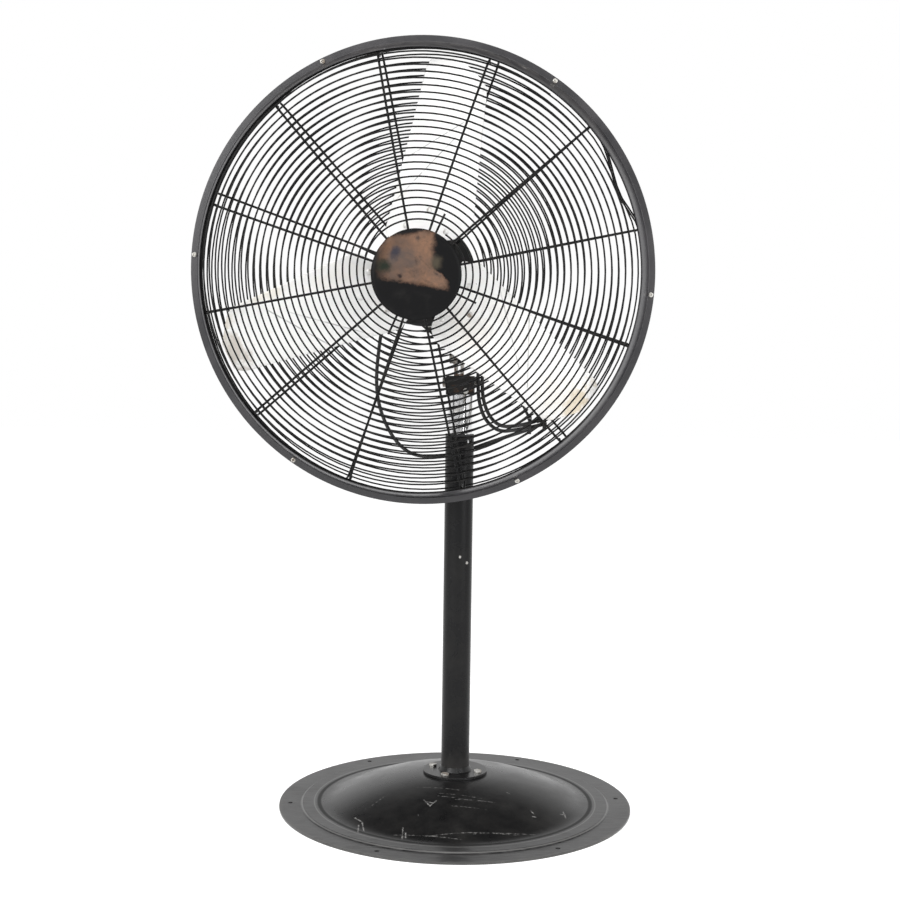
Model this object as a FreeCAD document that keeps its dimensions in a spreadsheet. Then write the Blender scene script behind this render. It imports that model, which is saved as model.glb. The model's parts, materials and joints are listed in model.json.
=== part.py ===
import FreeCAD, Part
import math
import operator
import os
from types import SimpleNamespace

import Sketcher
from FreeCAD import Placement, Rotation, Vector

# A worn industrial pedestal fan. Millimetres, +Z up, origin on the floor at the centre of the
# round base. The cage faces -Y. The head's own pieces are drawn in the fan frame, whose Z is the
# blade axis pointing forward, X the width and Y up, with its origin on the cage's clamping lip.

doc = FreeCAD.newDocument("PedestalFan")
sheet = doc.addObject("Spreadsheet::Sheet", "Dims")

driving = dict(
    # base and column
    base_radius=300, rim_thick=3.5, tread_outer=264, tread_inner=260, tread_top=6.5,
    dome_foot=230.6, dome_turn=206, dome_turn_height=12, dome_seat=60, dome_seat_height=54.3,
    foot_curve=57.8, dome_curve=484, base_wall=3.5,
    rim_hole_circle=281, rim_hole_radius=4, rim_hole_phase=7.1,
    flange_radius=55, flange_thick=4.7, flange_bolt_circle=42, flange_bolt_phase=68,
    weld_radius=28.5, weld_height=8,
    column_radius=24.15, column_bore=22.15, column_top=632.5, bush_depth=86, bush_lip=3.5,
    mast_radius=21.1, mast_wall=2.9, mast_foot=330, mast_top=729.5, running_gap=0.05,
    window_height=8.6, window_low=620.5, window_turn=-43, lock_height=505,
    # clamp and tilt joint
    clamp_half=23.5, clamp_front=26, clamp_back=36, clamp_low=703, clamp_high=734,
    pinch_back=29, pinch_height=723, tilt_across=-2.5, tilt_height=764, ear_radius=10.5,
    ear_thick=5.4, ear_gap=5.2, tilt_bolt_radius=4,
    # head placing
    head_across=-57.3, head_forward=-172.6, head_height=892, head_tilt=4,
    # cage
    band_radius=363.5, band_wall_radius=353.2, band_mouth_radius=338.5, band_depth=56,
    sheet_thick=1.6, screw_circle=358.3, screw_phase=34.4,
    dome_rise=124, dome_radius=950, spiral_wire=1.5, spoke_wire=2, weld_gap=0.05,
    front_pitch=10.35, front_start=71, front_half_turns=50, front_joint=34, front_phase=250,
    rear_pitch=10.6, rear_start=94, rear_half_turns=52, rear_joint=32, rear_phase=20,
    front_line=335, front_bend=20, front_end=20, rear_line=345.9, rear_bend=14,
    rear_depth=57.9, rear_radius=2500,
    disc_radius=67.3, disc_back=121.3, disc_thick=3.7, disc_bevel=7,
    # motor and rotor
    motor_radius=77, shell_wall=4, bell_front=-62, body_front=-95, body_back=-165,
    bell_back=-200, core_radius=39.5, shaft_radius=7.5, bearing_radius=17.5, bearing_width=11,
    switch_radius=22, switch_back=-238,
    blade_tip=325, blade_root=58, blade_pitch=24, blade_phase=9, blade_thick=1.6,
    blade_plane=38, arm_thick=4,
    # cord
    cord_radius=3.1, coil_radius=36, coil_bundle=11, coil_back=-219,
)

operations = {"+": operator.add, "-": operator.sub, "*": operator.mul, "/": operator.truediv}


class Size:
    # A length that carries both its number and the sheet formula that gives it.
    def __init__(self, value, formula):
        self.value = float(value)
        self.formula = formula

    def joined(self, sign, other, swapped=False):
        other = other if isinstance(other, Size) else Size(other, repr(float(other)))
        first, second = (other, self) if swapped else (self, other)
        value = operations[sign](first.value, second.value)
        return Size(value, "(%s %s %s)" % (first.formula, sign, second.formula))

    def __add__(self, other):
        return self.joined("+", other)

    def __radd__(self, other):
        return self.joined("+", other, True)

    def __sub__(self, other):
        return self.joined("-", other)

    def __rsub__(self, other):
        return self.joined("-", other, True)

    def __mul__(self, other):
        return self.joined("*", other)

    def __rmul__(self, other):
        return self.joined("*", other, True)

    def __truediv__(self, other):
        return self.joined("/", other)

    def __neg__(self):
        return self.joined("*", -1)


dims = SimpleNamespace()
for row, (alias, amount) in enumerate(driving.items(), start=1):
    sheet.set("A%d" % row, alias)
    sheet.set("B%d" % row, str(amount))
    sheet.setAlias("B%d" % row, alias)
    setattr(dims, alias, Size(amount, "Dims." + alias))
doc.recompute()

nodes = []


def number(amount):
    return amount.value if isinstance(amount, Size) else float(amount)


def bind(thing, prop, amount):
    setattr(thing, prop, number(amount))
    if isinstance(amount, Size):
        thing.setExpression(prop, amount.formula)


def put(thing, x=0, y=0, z=0, turn=None):
    thing.Placement = Placement(Vector(number(x), number(y), number(z)), turn or Rotation())
    for axis, amount in (("x", x), ("y", y), ("z", z)):
        if isinstance(amount, Size):
            thing.setExpression("Placement.Base." + axis, amount.formula)
    return thing


along_x = Rotation(Vector(0, 1, 0), 90)
along_y = Rotation(Vector(1, 0, 0), -90)
head_turn = Rotation(Vector(1, 0, 0), 90 + number(dims.head_tilt))
head_spot = Vector(number(dims.head_across), number(dims.head_forward), number(dims.head_height))
head = Placement(head_spot, head_turn)


def keep(thing, label, where=None):
    # Names a finished sub-part and moves it from its own frame to its place on the fan. A piece
    # whose own position follows the sheet is moved inside a compound.
    if where is not None and thing.ExpressionEngine:
        group = doc.addObject("Part::Compound", "Placed")
        group.Links = [thing]
        thing = group
    thing.Label = label
    if where is not None:
        thing.Placement = where.multiply(thing.Placement)
    nodes.append(thing)
    return thing


def cylinder(radius, height, x=0, y=0, z=0, turn=None):
    rod = doc.addObject("Part::Cylinder", "Rod")
    bind(rod, "Radius", radius)
    bind(rod, "Height", height)
    return put(rod, x, y, z, turn)


def cone(wide, narrow, height, x=0, y=0, z=0, turn=None):
    taper = doc.addObject("Part::Cone", "Taper")
    bind(taper, "Radius1", wide)
    bind(taper, "Radius2", narrow)
    bind(taper, "Height", height)
    return put(taper, x, y, z, turn)


def block(length, width, height, x=0, y=0, z=0, turn=None):
    box = doc.addObject("Part::Box", "Block")
    bind(box, "Length", length)
    bind(box, "Width", width)
    bind(box, "Height", height)
    return put(box, x, y, z, turn)


def hexagon(across, height, x=0, y=0, z=0, turn=None):
    prism = doc.addObject("Part::Prism", "Hexagon")
    prism.Polygon = 6
    bind(prism, "Circumradius", across)
    bind(prism, "Height", height)
    return put(prism, x, y, z, turn)


def ring(mean, thick, x=0, y=0, z=0, turn=None):
    torus = doc.addObject("Part::Torus", "Ring")
    bind(torus, "Radius1", mean)
    bind(torus, "Radius2", thick)
    return put(torus, x, y, z, turn)


def joined(*pieces):
    fuse = doc.addObject("Part::MultiFuse", "Joined")
    fuse.Shapes = list(pieces)
    return fuse


def without(stock, *tools):
    cut = doc.addObject("Part::Cut", "Cut")
    cut.Base = stock
    cut.Tool = tools[0] if len(tools) == 1 else joined(*tools)
    return cut


def arc_middle(start, end, radius):
    # The arc's halfway point. A positive radius bulges to the right of start to end.
    chord = end.sub(start)
    half = chord.Length / 2
    rise = abs(radius) - math.sqrt(radius * radius - half * half)
    side = Vector(chord.y, -chord.x, 0).normalize()
    return start.add(end).multiply(0.5).add(side.multiply(math.copysign(rise, radius)))


def draw(sketch, outline):
    # A closed outline of corners (x, y) or (x, y, radius), where the radius bends the edge that
    # leaves the corner. Every corner is held by its distances from the origin.
    corners = [Vector(number(c[0]), number(c[1]), 0) for c in outline]
    count = len(corners)
    begins, ends = [], []
    for i, corner in enumerate(outline):
        start, end = corners[i], corners[(i + 1) % count]
        if len(corner) == 3:
            bend = number(corner[2])
            middle = arc_middle(start, end, bend)
            sketch.addGeometry(Part.Arc(start, middle, end), False)
            begins.append(1 if bend > 0 else 2)
            ends.append(2 if bend > 0 else 1)
        else:
            sketch.addGeometry(Part.LineSegment(start, end), False)
            begins.append(1)
            ends.append(2)
    for i in range(count):
        after = (i + 1) % count
        sketch.addConstraint(Sketcher.Constraint("Coincident", i, ends[i], after, begins[after]))
    for i, corner in enumerate(outline):
        for axis, amount, line in (("DistanceX", corner[0], -2), ("DistanceY", corner[1], -1)):
            if number(amount) == 0:
                sketch.addConstraint(Sketcher.Constraint("PointOnObject", i, begins[i], line))
                continue
            rule = Sketcher.Constraint(axis, -1, 1, i, begins[i], number(amount))
            index = sketch.addConstraint(rule)
            if isinstance(amount, Size):
                sketch.setExpression("Constraints[%d]" % index, amount.formula)
        if len(corner) == 3:
            rule = Sketcher.Constraint("Radius", i, abs(number(corner[2])))
            index = sketch.addConstraint(rule)
            if isinstance(corner[2], Size):
                formula = "abs(%s)" % corner[2].formula
                sketch.setExpression("Constraints[%d]" % index, formula)


def sketch_on(body, role, name):
    sketch = body.newObject("Sketcher::SketchObject", name)
    plane = [part for part in body.Origin.OriginFeatures if part.Role == role][0]
    sketch.AttachmentSupport = [(plane, "")]
    sketch.MapMode = "FlatFace"
    return sketch


def turned(outline, name="Turned"):
    # A body of revolution about Z from an outline of (radius, height) corners.
    body = doc.addObject("PartDesign::Body", name)
    sketch = sketch_on(body, "XZ_Plane", name + "Outline")
    draw(sketch, outline)
    spin = body.newObject("PartDesign::Revolution", name + "Spin")
    spin.Profile = sketch
    spin.ReferenceAxis = (sketch, ["V_Axis"])
    spin.Angle = 360
    sketch.Visibility = False
    return body


def padded(outline, thick, name="Padded"):
    # A flat plate on the XY plane, thickened along +Z.
    body = doc.addObject("PartDesign::Body", name)
    sketch = sketch_on(body, "XY_Plane", name + "Outline")
    draw(sketch, outline)
    pad = body.newObject("PartDesign::Pad", name + "Pad")
    pad.Profile = sketch
    bind(pad, "Length", thick)
    return body


def drill(body, circle, radius, phase, count, name):
    # Holes straight through along Z, evenly spaced on a bolt circle.
    sketch = sketch_on(body, "XY_Plane", name + "Circle")
    angle = math.radians(number(phase))
    spot = Vector(number(circle) * math.cos(angle), number(circle) * math.sin(angle), 0)
    sketch.addGeometry(Part.Circle(spot, Vector(0, 0, 1), number(radius)), False)
    for axis, amount, turn in (("DistanceX", spot.x, "cos"), ("DistanceY", spot.y, "sin")):
        index = sketch.addConstraint(Sketcher.Constraint(axis, -1, 1, 0, 3, amount))
        formula = "%s * %s(%s * 1 deg)" % (circle.formula, turn, phase.formula)
        sketch.setExpression("Constraints[%d]" % index, formula)
    index = sketch.addConstraint(Sketcher.Constraint("Radius", 0, number(radius)))
    if isinstance(radius, Size):
        sketch.setExpression("Constraints[%d]" % index, radius.formula)
    hole = body.newObject("PartDesign::Pocket", name + "Hole")
    hole.Profile = sketch
    hole.Type = "ThroughAll"
    hole.Midplane = True
    pattern = body.newObject("PartDesign::PolarPattern", name + "Pattern")
    pattern.Originals = [hole]
    pattern.Axis = ([p for p in body.Origin.OriginFeatures if p.Role == "Z_Axis"][0], [""])
    pattern.Angle = 360
    pattern.Occurrences = count
    body.Tip = pattern
    return body


def grouped(*pieces):
    # Pieces that share a node but stay separate solids.
    group = doc.addObject("Part::Compound", "Group")
    group.Links = list(pieces)
    return group


def around(seed, count, circle, phase, label, where=None, clockwise_from_y=False):
    # Copies of a seed piece spaced around Z, as separate solids of one group.
    doc.recompute()
    copies = []
    for i in range(count):
        angle = number(phase) + i * 360.0 / count
        angle = 90 - angle if clockwise_from_y else angle
        spin = Placement(Vector(), Rotation(Vector(0, 0, 1), angle))
        shift = Placement(Vector(number(circle), 0, 0), Rotation())
        copy = seed.Shape.copy()
        copy.Placement = spin.multiply(shift).multiply(seed.Placement)
        copies.append(copy)
    group = doc.addObject("Part::Feature", "Group")
    group.Shape = Part.makeCompound(copies)
    return keep(group, label, where)


def wire_solid(edges, radius, start, heading):
    # A round wire of one radius along a chain of lines and tangent arcs.
    outline = Part.Wire(Part.Circle(start, heading, radius).toShape())
    path = Part.Wire(edges)
    solid = path.makePipe(Part.Face(outline))
    if solid.ShapeType != "Solid":
        solid = solid.Solids[0]
    expected = math.pi * radius * radius * path.Length
    if abs(solid.Volume - expected) > 0.01 * expected:
        raise ValueError("a wire's volume %.0f is not %.0f" % (solid.Volume, expected))
    return solid


# ---- base ---------------------------------------------------------------------------------


def make_base():
    wall = dims.base_wall
    base = turned([
        (dims.base_radius, 0), (dims.base_radius, dims.rim_thick),
        (dims.tread_outer, dims.rim_thick), (dims.tread_inner, dims.tread_top),
        (dims.dome_foot, dims.tread_top, dims.foot_curve * -1),
        (dims.dome_turn, dims.dome_turn_height, dims.dome_curve),
        (dims.dome_seat, dims.dome_seat_height), (0, dims.dome_seat_height),
        (0, dims.dome_seat_height - wall),
        (dims.dome_seat, dims.dome_seat_height - wall, dims.dome_curve * -1),
        (dims.dome_turn, dims.dome_turn_height - wall, dims.foot_curve),
        (dims.dome_foot, dims.tread_top - wall), (dims.tread_inner - 2, dims.tread_top - wall),
        (dims.tread_inner + 1, 0),
    ], "BaseShell")
    drill(base, dims.rim_hole_circle, dims.rim_hole_radius, dims.rim_hole_phase, 6, "Rim")
    drill(base, dims.flange_bolt_circle, Size(4.2, "4.2"), dims.flange_bolt_phase, 4, "Seat")
    keep(base, "base_plate")

    # A flat round flange with the weld bead that holds the column's foot.
    seat = dims.dome_seat_height
    top = seat + dims.flange_thick
    bore = dims.column_radius
    flange = turned([
        (bore, seat), (dims.flange_radius, seat), (dims.flange_radius, top),
        (dims.weld_radius, top), (bore, top + dims.weld_height),
    ], "Flange")
    drill(flange, dims.flange_bolt_circle, Size(4.2, "4.2"), dims.flange_bolt_phase, 4, "Bolt")
    keep(flange, "column_flange")

    # Hexagon bolts drop through the flange and the dome; nuts hold them underneath.
    bolt = joined(hexagon(7, 3.6, z=top), cylinder(4, dims.flange_thick + wall + 11, z=seat - wall - 11))
    nut = without(hexagon(7.4, 6.4, z=seat - wall - 6.4), cylinder(4.02, 20, z=seat - wall - 12))
    around(grouped(bolt, nut), 4, dims.flange_bolt_circle, dims.flange_bolt_phase, "flange_bolts")


def make_column():
    # A small slot near the top, through which the bright mast shows.
    window = block(30, 9, dims.window_height, z=dims.window_low)
    turn = Rotation(Vector(0, 0, 1), number(dims.window_turn))
    corner = turn.multVec(Vector(10, -4.5, 0))
    window.Placement = Placement(corner.add(Vector(0, 0, number(dims.window_low))), turn)
    foot = dims.dome_seat_height
    tube = without(
        cylinder(dims.column_radius, dims.column_top - foot, z=foot),
        cylinder(dims.column_bore, dims.column_top, z=foot - 1),
        window,
        cylinder(5.1, 30, y=10, z=dims.lock_height, turn=along_y),
    )

    # A plastic bush lines the top of the column and caps its edge.
    low = dims.column_top - dims.bush_depth
    sleeve = joined(
        cylinder(dims.column_bore - dims.running_gap, dims.bush_depth, z=low),
        cylinder(dims.column_radius, dims.bush_lip, z=dims.column_top),
    )
    bush = without(
        sleeve,
        cylinder(dims.mast_radius + dims.running_gap, 120, z=low - 5),
        window,
    )
    keep(bush, "column_bush")

    # The threaded boss for the height lock, welded to the back of the column.
    boss = without(
        cylinder(9, 14, y=dims.column_radius - 1, z=dims.lock_height, turn=along_y),
        cylinder(dims.column_radius + 0.02, 60, z=dims.lock_height - 30),
        cylinder(5.05, 40, y=10, z=dims.lock_height, turn=along_y),
    )
    keep(joined(tube, boss), "outer_column")


def make_lock_knob():
    # A lobed plastic knob on a threaded stud that presses on the mast.
    stud = cylinder(5, 30, y=dims.mast_radius + 0.1, z=dims.lock_height, turn=along_y)
    keep(stud, "lock_stud")
    reach = dims.mast_radius + 22
    lobes = [
        cylinder(6, 16, x=15 * math.cos(a), y=reach, z=dims.lock_height + 15 * math.sin(a), turn=along_y)
        for a in [math.radians(72 * i + 18) for i in range(5)]
    ]
    body = joined(cylinder(15, 16, y=reach, z=dims.lock_height, turn=along_y), *lobes)
    keep(without(body, cylinder(5.01, 8.2, y=reach - 0.1, z=dims.lock_height, turn=along_y)), "lock_knob")


def make_mast():
    tube = without(
        cylinder(dims.mast_radius, dims.mast_top - dims.mast_foot, z=dims.mast_foot),
        cylinder(dims.mast_radius - dims.mast_wall, 500, z=dims.mast_foot - 1),
    )
    keep(tube, "inner_mast")
    guide = joined(
        cylinder(dims.column_bore - dims.running_gap, 8, z=dims.mast_foot - 8),
        cylinder(dims.mast_radius - dims.mast_wall - 0.02, 16, z=dims.mast_foot),
    )
    keep(without(guide, cylinder(8, 60, z=dims.mast_foot - 20)), "mast_guide")


# ---- clamp and tilt joint -----------------------------------------------------------------


def make_clamp():
    # A steel block bored to turn on the mast, split at the back and drawn up by a cross bolt.
    half, low = dims.clamp_half, dims.clamp_low
    stock = block(half * 2, dims.clamp_front + dims.clamp_back, dims.clamp_high - low,
                  x=half * -1, y=dims.clamp_front * -1, z=low)
    clamp = without(
        stock,
        cylinder(dims.mast_radius + dims.running_gap, dims.mast_top - low + 1.1, z=low - 1),
        block(3, 40, 60, x=-1.5, y=10, z=low - 5),
        cylinder(4.1, 80, x=-40, y=dims.pinch_back, z=dims.pinch_height, turn=along_x),
        cylinder(3.05, 8, x=10, y=dims.clamp_front * -1 - 0.5, z=709, turn=along_y),
    )
    keep(clamp, "head_clamp")
    head_end = half * -1 - 8
    bolt = joined(
        hexagon(8.5, 8, x=head_end, y=dims.pinch_back, z=dims.pinch_height, turn=along_x),
        cylinder(4, 68, x=head_end + 0.5, y=dims.pinch_back, z=dims.pinch_height, turn=along_x),
    )
    nut = without(
        hexagon(8, 7, x=half, y=dims.pinch_back, z=dims.pinch_height, turn=along_x),
        cylinder(4.02, 20, x=half - 5, y=dims.pinch_back, z=dims.pinch_height, turn=along_x),
    )
    keep(grouped(bolt, nut), "pinch_bolt")
    screw = joined(
        cylinder(4.6, 2.6, x=10, y=dims.clamp_front * -1 - 2.6, z=709, turn=along_y),
        cylinder(3, 6.4, x=10, y=dims.clamp_front * -1 - 1, z=709, turn=along_y),
    )
    keep(screw, "locating_screw")


def make_clevis():
    # Two ears on a foot welded to the clamp, drilled for the tilt bolt.
    across, high, top = dims.tilt_across, dims.tilt_height, dims.clamp_high
    outer = dims.ear_gap / 2 + dims.ear_thick
    ears = []
    for side in (outer * -1, dims.ear_gap / 2):
        ears.append(block(dims.ear_thick, dims.ear_radius * 2, high - top,
                          x=across + side, y=dims.ear_radius * -1, z=top))
        ears.append(cylinder(dims.ear_radius, dims.ear_thick, x=across + side, z=high, turn=along_x))
    foot = block(outer * 2, 34, 4, x=across - outer, y=-15, z=top)
    clevis = without(
        joined(foot, *ears),
        cylinder(dims.tilt_bolt_radius + 0.05, 60, x=-30, z=high, turn=along_x),
    )
    keep(clevis, "tilt_clevis")
    left = across - outer
    right = across + outer
    bolt = joined(
        hexagon(9.2, 6.4, x=left - 8.4, z=high, turn=along_x),
        cylinder(dims.tilt_bolt_radius, outer * 2 + 14, x=left - 2.2, z=high, turn=along_x),
    )
    washers = []
    for start in (left - 2, right):
        disc = without(cylinder(10.5, 2, x=start, z=high, turn=along_x),
                       cylinder(5.05, 12, x=start - 5, z=high, turn=along_x))
        washers.append(disc)
    nut = without(
        hexagon(9.2, 8, x=right + 2, z=high, turn=along_x),
        cylinder(5.02, 30, x=right - 5, z=high, turn=along_x),
    )
    keep(grouped(bolt, nut, *washers), "tilt_bolt")


def polar(radius, angle):
    # A point on the XY plane, the angle in degrees from +X.
    return (radius * math.cos(math.radians(angle)), radius * math.sin(math.radians(angle)))


def bracket_bolts(radius, low, height, shape=cylinder):
    # Four radial seats under the motor, two rows along its axis.
    seats = []
    for angle in (-86, -46):
        for z in (-156, -108):
            outward = Rotation(Vector(0, 0, 1), Vector(*polar(1, angle), 0))
            spot = Vector(*polar(low, angle), z)
            seat = shape(radius, height)
            seat.Placement = Placement(spot, outward)
            seats.append(seat)
    return seats


def make_bracket():
    # A plate beside the ears carries the motor in a rolled cradle, leaning to the motor's side.
    # The pivot is carried into the fan frame so that the eye sits exactly on the tilt bolt.
    pivot = head.inverse().multVec(Vector(number(dims.tilt_across), 0, number(dims.tilt_height)))
    plate_back = pivot.z + 13
    rest = number(dims.motor_radius) + 0.05
    outside = rest + 4
    plate = padded([
        (-24.4, -73.1), (62, -143), (67, -143), (70, -104), polar(rest, -36) + (rest * -1,),
    ], 6, "BracketPlate")
    plate.Placement = Placement(Vector(0, 0, plate_back), Rotation())
    cradle = padded([
        polar(rest, -98) + (rest,), polar(rest, -34), polar(outside, -34) + (outside * -1,),
        polar(outside, -98),
    ], 62, "Cradle")
    cradle.Placement = Placement(Vector(0, 0, -163), Rotation())
    tongue = joined(
        cylinder(9, 4.6, x=pivot.x - 2.3, y=pivot.y, z=pivot.z, turn=along_x),
        block(4.6, 16, 14, x=pivot.x - 2.3, y=pivot.y - 5, z=pivot.z),
    )
    bracket = without(
        joined(plate, cradle, tongue),
        cylinder(dims.tilt_bolt_radius + 0.05, 60, x=pivot.x - 30, y=pivot.y, z=pivot.z, turn=along_x),
        *bracket_bolts(3.05, 70, 20)
    )
    keep(bracket, "tilt_bracket", head)
    heads = bracket_bolts(5.8, outside + 0.6, 4.4, hexagon)
    shanks = bracket_bolts(3, rest - 3.5, 9.5)
    keep(grouped(*[joined(top, shank) for top, shank in zip(heads, shanks)]), "cradle_bolts", head)


# ---- motor --------------------------------------------------------------------------------


# Where the two leads leave the terminal box, across the motor.
lead_across = (86.8, 93.8)


def make_motor():
    outer, wall = dims.motor_radius, dims.shell_wall
    inner = outer - wall
    seat = dims.bearing_radius
    front = dims.bell_front
    bell = turned([
        (12.5, front + 2), (20, front + 2), (22, front), (52, front), (60, front - 3),
        (68, front - 9), (74, front - 19), (outer, dims.body_front), (inner, dims.body_front),
        (70, front - 21), (65, front - 13), (58, front - 7), (51, front - wall), (24, front - wall),
        (24, front - 16), (seat, front - 16), (seat, front - 4), (12.5, front - 4),
    ], "FrontBell")
    drill(bell, Size(48, "48"), Size(2.6, "2.6"), Size(45, "45"), 4, "GuardBolt")
    keep(bell, "motor_front_bell", head)
    shell = turned([(inner, dims.body_back), (outer, dims.body_back), (outer, dims.body_front),
                    (inner, dims.body_front)], "MotorShell")
    keep(without(shell, *bracket_bolts(3.05, 72, 12)), "motor_shell", head)
    back = dims.bell_back
    rear = turned([
        (0, back), (63, back), (outer, back + 13), (outer, dims.body_back),
        (inner, dims.body_back), (inner, back + 15), (61, back + wall), (24, back + wall),
        (24, back + 18), (seat, back + 18), (seat, back + 6), (0, back + 6),
    ], "RearBell")
    keep(rear, "motor_rear_bell", head)

    core = turned([(40.1, -156), (inner - 0.05, -156), (inner - 0.05, -108), (40.1, -108)], "Stator")
    keep(core, "stator_core", head)
    coils = joined(ring(56, 9, z=-98.9), ring(56, 9, z=-165.1))
    keep(coils, "stator_windings", head)
    width = dims.bearing_width
    races = []
    for start in (front - 4.05 - width, back + 6.5):
        race = turned([(dims.shaft_radius + 0.02, start), (seat - 0.02, start),
                       (seat - 0.02, start + width), (dims.shaft_radius + 0.02, start + width)], "Race")
        races.append(race)
    keep(grouped(*races), "motor_bearings", head)


def make_boxes():
    # The terminal box on the motor's side holds the run capacitor and lets out the two leads.
    motor = cylinder(number(dims.motor_radius) + 0.05, 200, z=-220)
    box = without(
        block(42, 44, 46, x=68, y=-58, z=-195),
        block(36, 38, 50, x=71, y=-55, z=-199),
        motor,
        block(18.1, 9, 13.1, x=81.25, y=-59, z=-178.55),
    )
    keep(box, "terminal_box", head)
    cover = without(block(42, 44, 2, x=68, y=-58, z=-197), motor)
    keep(cover, "terminal_cover", head)
    keep(cylinder(12.5, 32, x=91, y=-36, z=-188), "run_capacitor", head)
    down = Rotation(Vector(1, 0, 0), 90)
    boots = [cone(5.2, 4.1, 24, x=x, y=-64, z=-172, turn=down) for x in lead_across]
    grommet = without(
        joined(block(18, 4, 13, x=81.3, y=-59, z=-178.5), block(21, 6, 16, x=79.8, y=-65, z=-180), *boots),
        *[cylinder(dims.cord_radius + 0.1, 80, x=x, y=-30, z=-172, turn=down) for x in lead_across]
    )
    keep(grommet, "lead_grommet", head)

    # The rotary speed switch stands on the rear bell inside a round housing.
    housing = turned([
        (0, dims.switch_back), (dims.switch_radius, dims.switch_back),
        (dims.switch_radius, dims.bell_back), (dims.switch_radius - 3, dims.bell_back),
        (dims.switch_radius - 3, dims.switch_back + 3), (0, dims.switch_back + 3),
    ], "SwitchHousing")
    drill(housing, Size(0.001, "0.001"), Size(3.05, "3.05"), Size(0, "0"), 2, "Spindle")
    keep(housing, "switch_housing", head)
    keep(block(24, 24, 18, x=-12, y=-12, z=-233), "speed_switch", head)
    keep(cylinder(3, 15, z=dims.switch_back - 10), "switch_spindle", head)
    grip = turned([(0, -256), (11, -256), (15, -241), (15, -239), (3.02, -239), (3.02, -249), (0, -249)],
                  "SwitchKnob")
    pointer = block(3, 13, 4, x=-1.5, y=1, z=-259)
    keep(joined(grip, pointer), "switch_knob", head)


# ---- rotor --------------------------------------------------------------------------------


def make_rotor():
    shaft = turned([(0, -192), (7.5, -192), (7.5, 60), (6.5, 62), (0, 62)], "Shaft")
    keep(shaft, "rotor_shaft", head)
    core = turned([(7.52, -158), (dims.core_radius, -158), (dims.core_radius, -106), (7.52, -106)],
                  "RotorCore")
    keep(core, "rotor_core", head)
    plane = dims.blade_plane
    hub = turned([
        (7.52, plane - 26), (18, plane - 26), (18, plane - 6), (28, plane - 6), (28, plane - 2.05),
        (16, plane - 2.05), (16, plane + 16), (7.52, plane + 16),
    ], "Hub")
    keep(without(hub, cylinder(3.05, 20, x=5, z=plane - 16, turn=along_x)), "blade_hub", head)
    keep(cylinder(3, 9, x=8, z=plane - 16, turn=along_x), "hub_set_screw", head)


rivet_spots = ((0, 98), (-36, 70), (34, 70))


def blade_frame(index):
    # Where blade number index sits: turned clockwise from the top and pitched about its own arm.
    angle = -(number(dims.blade_phase) + 120 * index)
    spin = Placement(Vector(0, 0, number(dims.blade_plane)), Rotation(Vector(0, 0, 1), angle))
    pitch = Placement(Vector(), Rotation(Vector(0, 1, 0), -number(dims.blade_pitch)))
    return spin.multiply(pitch)


def make_spider():
    # A round plate with three pitched arms; the arms fan out into pads under the blades.
    arms, holes = [], [cylinder(16.05, 40, z=dims.blade_plane - 20)]
    lower = Placement(Vector(0, 0, -number(dims.arm_thick) / 2), Rotation())
    for index in range(3):
        arm = padded([
            (-17, 30), (17, 30), (17, 58), (42, 64), (42, 80), (12, 108), (-12, 108), (-46, 80),
            (-46, 64), (-17, 58),
        ], dims.arm_thick, "Arm")
        arm.Placement = blade_frame(index).multiply(lower)
        arms.append(arm)
        for u, v in rivet_spots:
            hole = cylinder(2.6, 20)
            hole.Placement = blade_frame(index).multiply(Placement(Vector(u, v, -10), Rotation()))
            holes.append(hole)
    disc = cylinder(40, 4, z=dims.blade_plane - 2)
    keep(without(joined(disc, *arms), *holes), "blade_spider", head)


def make_blades():
    lift = number(dims.arm_thick) / 2 + 0.03
    for index in range(3):
        blade = padded([
            (-74, 59), (-67, 120), (-55, 240), (-48, 312, -22), (-36, dims.blade_tip),
            (8, dims.blade_tip), (50, 298, -22), (60, 275), (62.5, 225), (72.5, 95),
            (72, 84, 16), (58, 64), (30, 56), (-57, 37),
        ], dims.blade_thick, "Blade")
        doc.recompute()
        drilled = without(blade, *[cylinder(2.6, 12, x=u, y=v, z=-5) for u, v in rivet_spots])
        shift = Placement(Vector(0, 0, lift), Rotation())
        place = head.multiply(blade_frame(index)).multiply(shift)
        keep(drilled, "blade_%d" % (index + 1), place)
    rivets = []
    for index in range(3):
        for u, v in rivet_spots:
            low = -number(dims.arm_thick) / 2
            high = lift + number(dims.blade_thick)
            shank = Part.makeCylinder(2.5, high - low + 0.4, Vector(u, v, low - 0.2))
            front = Part.makeCylinder(5, 1.6, Vector(u, v, high + 0.03))
            rear = Part.makeCylinder(5, 1.6, Vector(u, v, low - 1.63))
            rivet = shank.fuse([front, rear]).removeSplitter()
            rivet.Placement = head.multiply(blade_frame(index))
            rivets.append(rivet)
    group = doc.addObject("Part::Feature", "Rivets")
    group.Shape = Part.makeCompound(rivets)
    keep(group, "blade_rivets")


# ---- cage ---------------------------------------------------------------------------------


def dome_height(radius):
    # The spiral of the front guard lies on a shallow sphere.
    curve = number(dims.dome_radius)
    return number(dims.dome_rise) - curve + math.sqrt(curve * curve - radius * radius)


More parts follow.
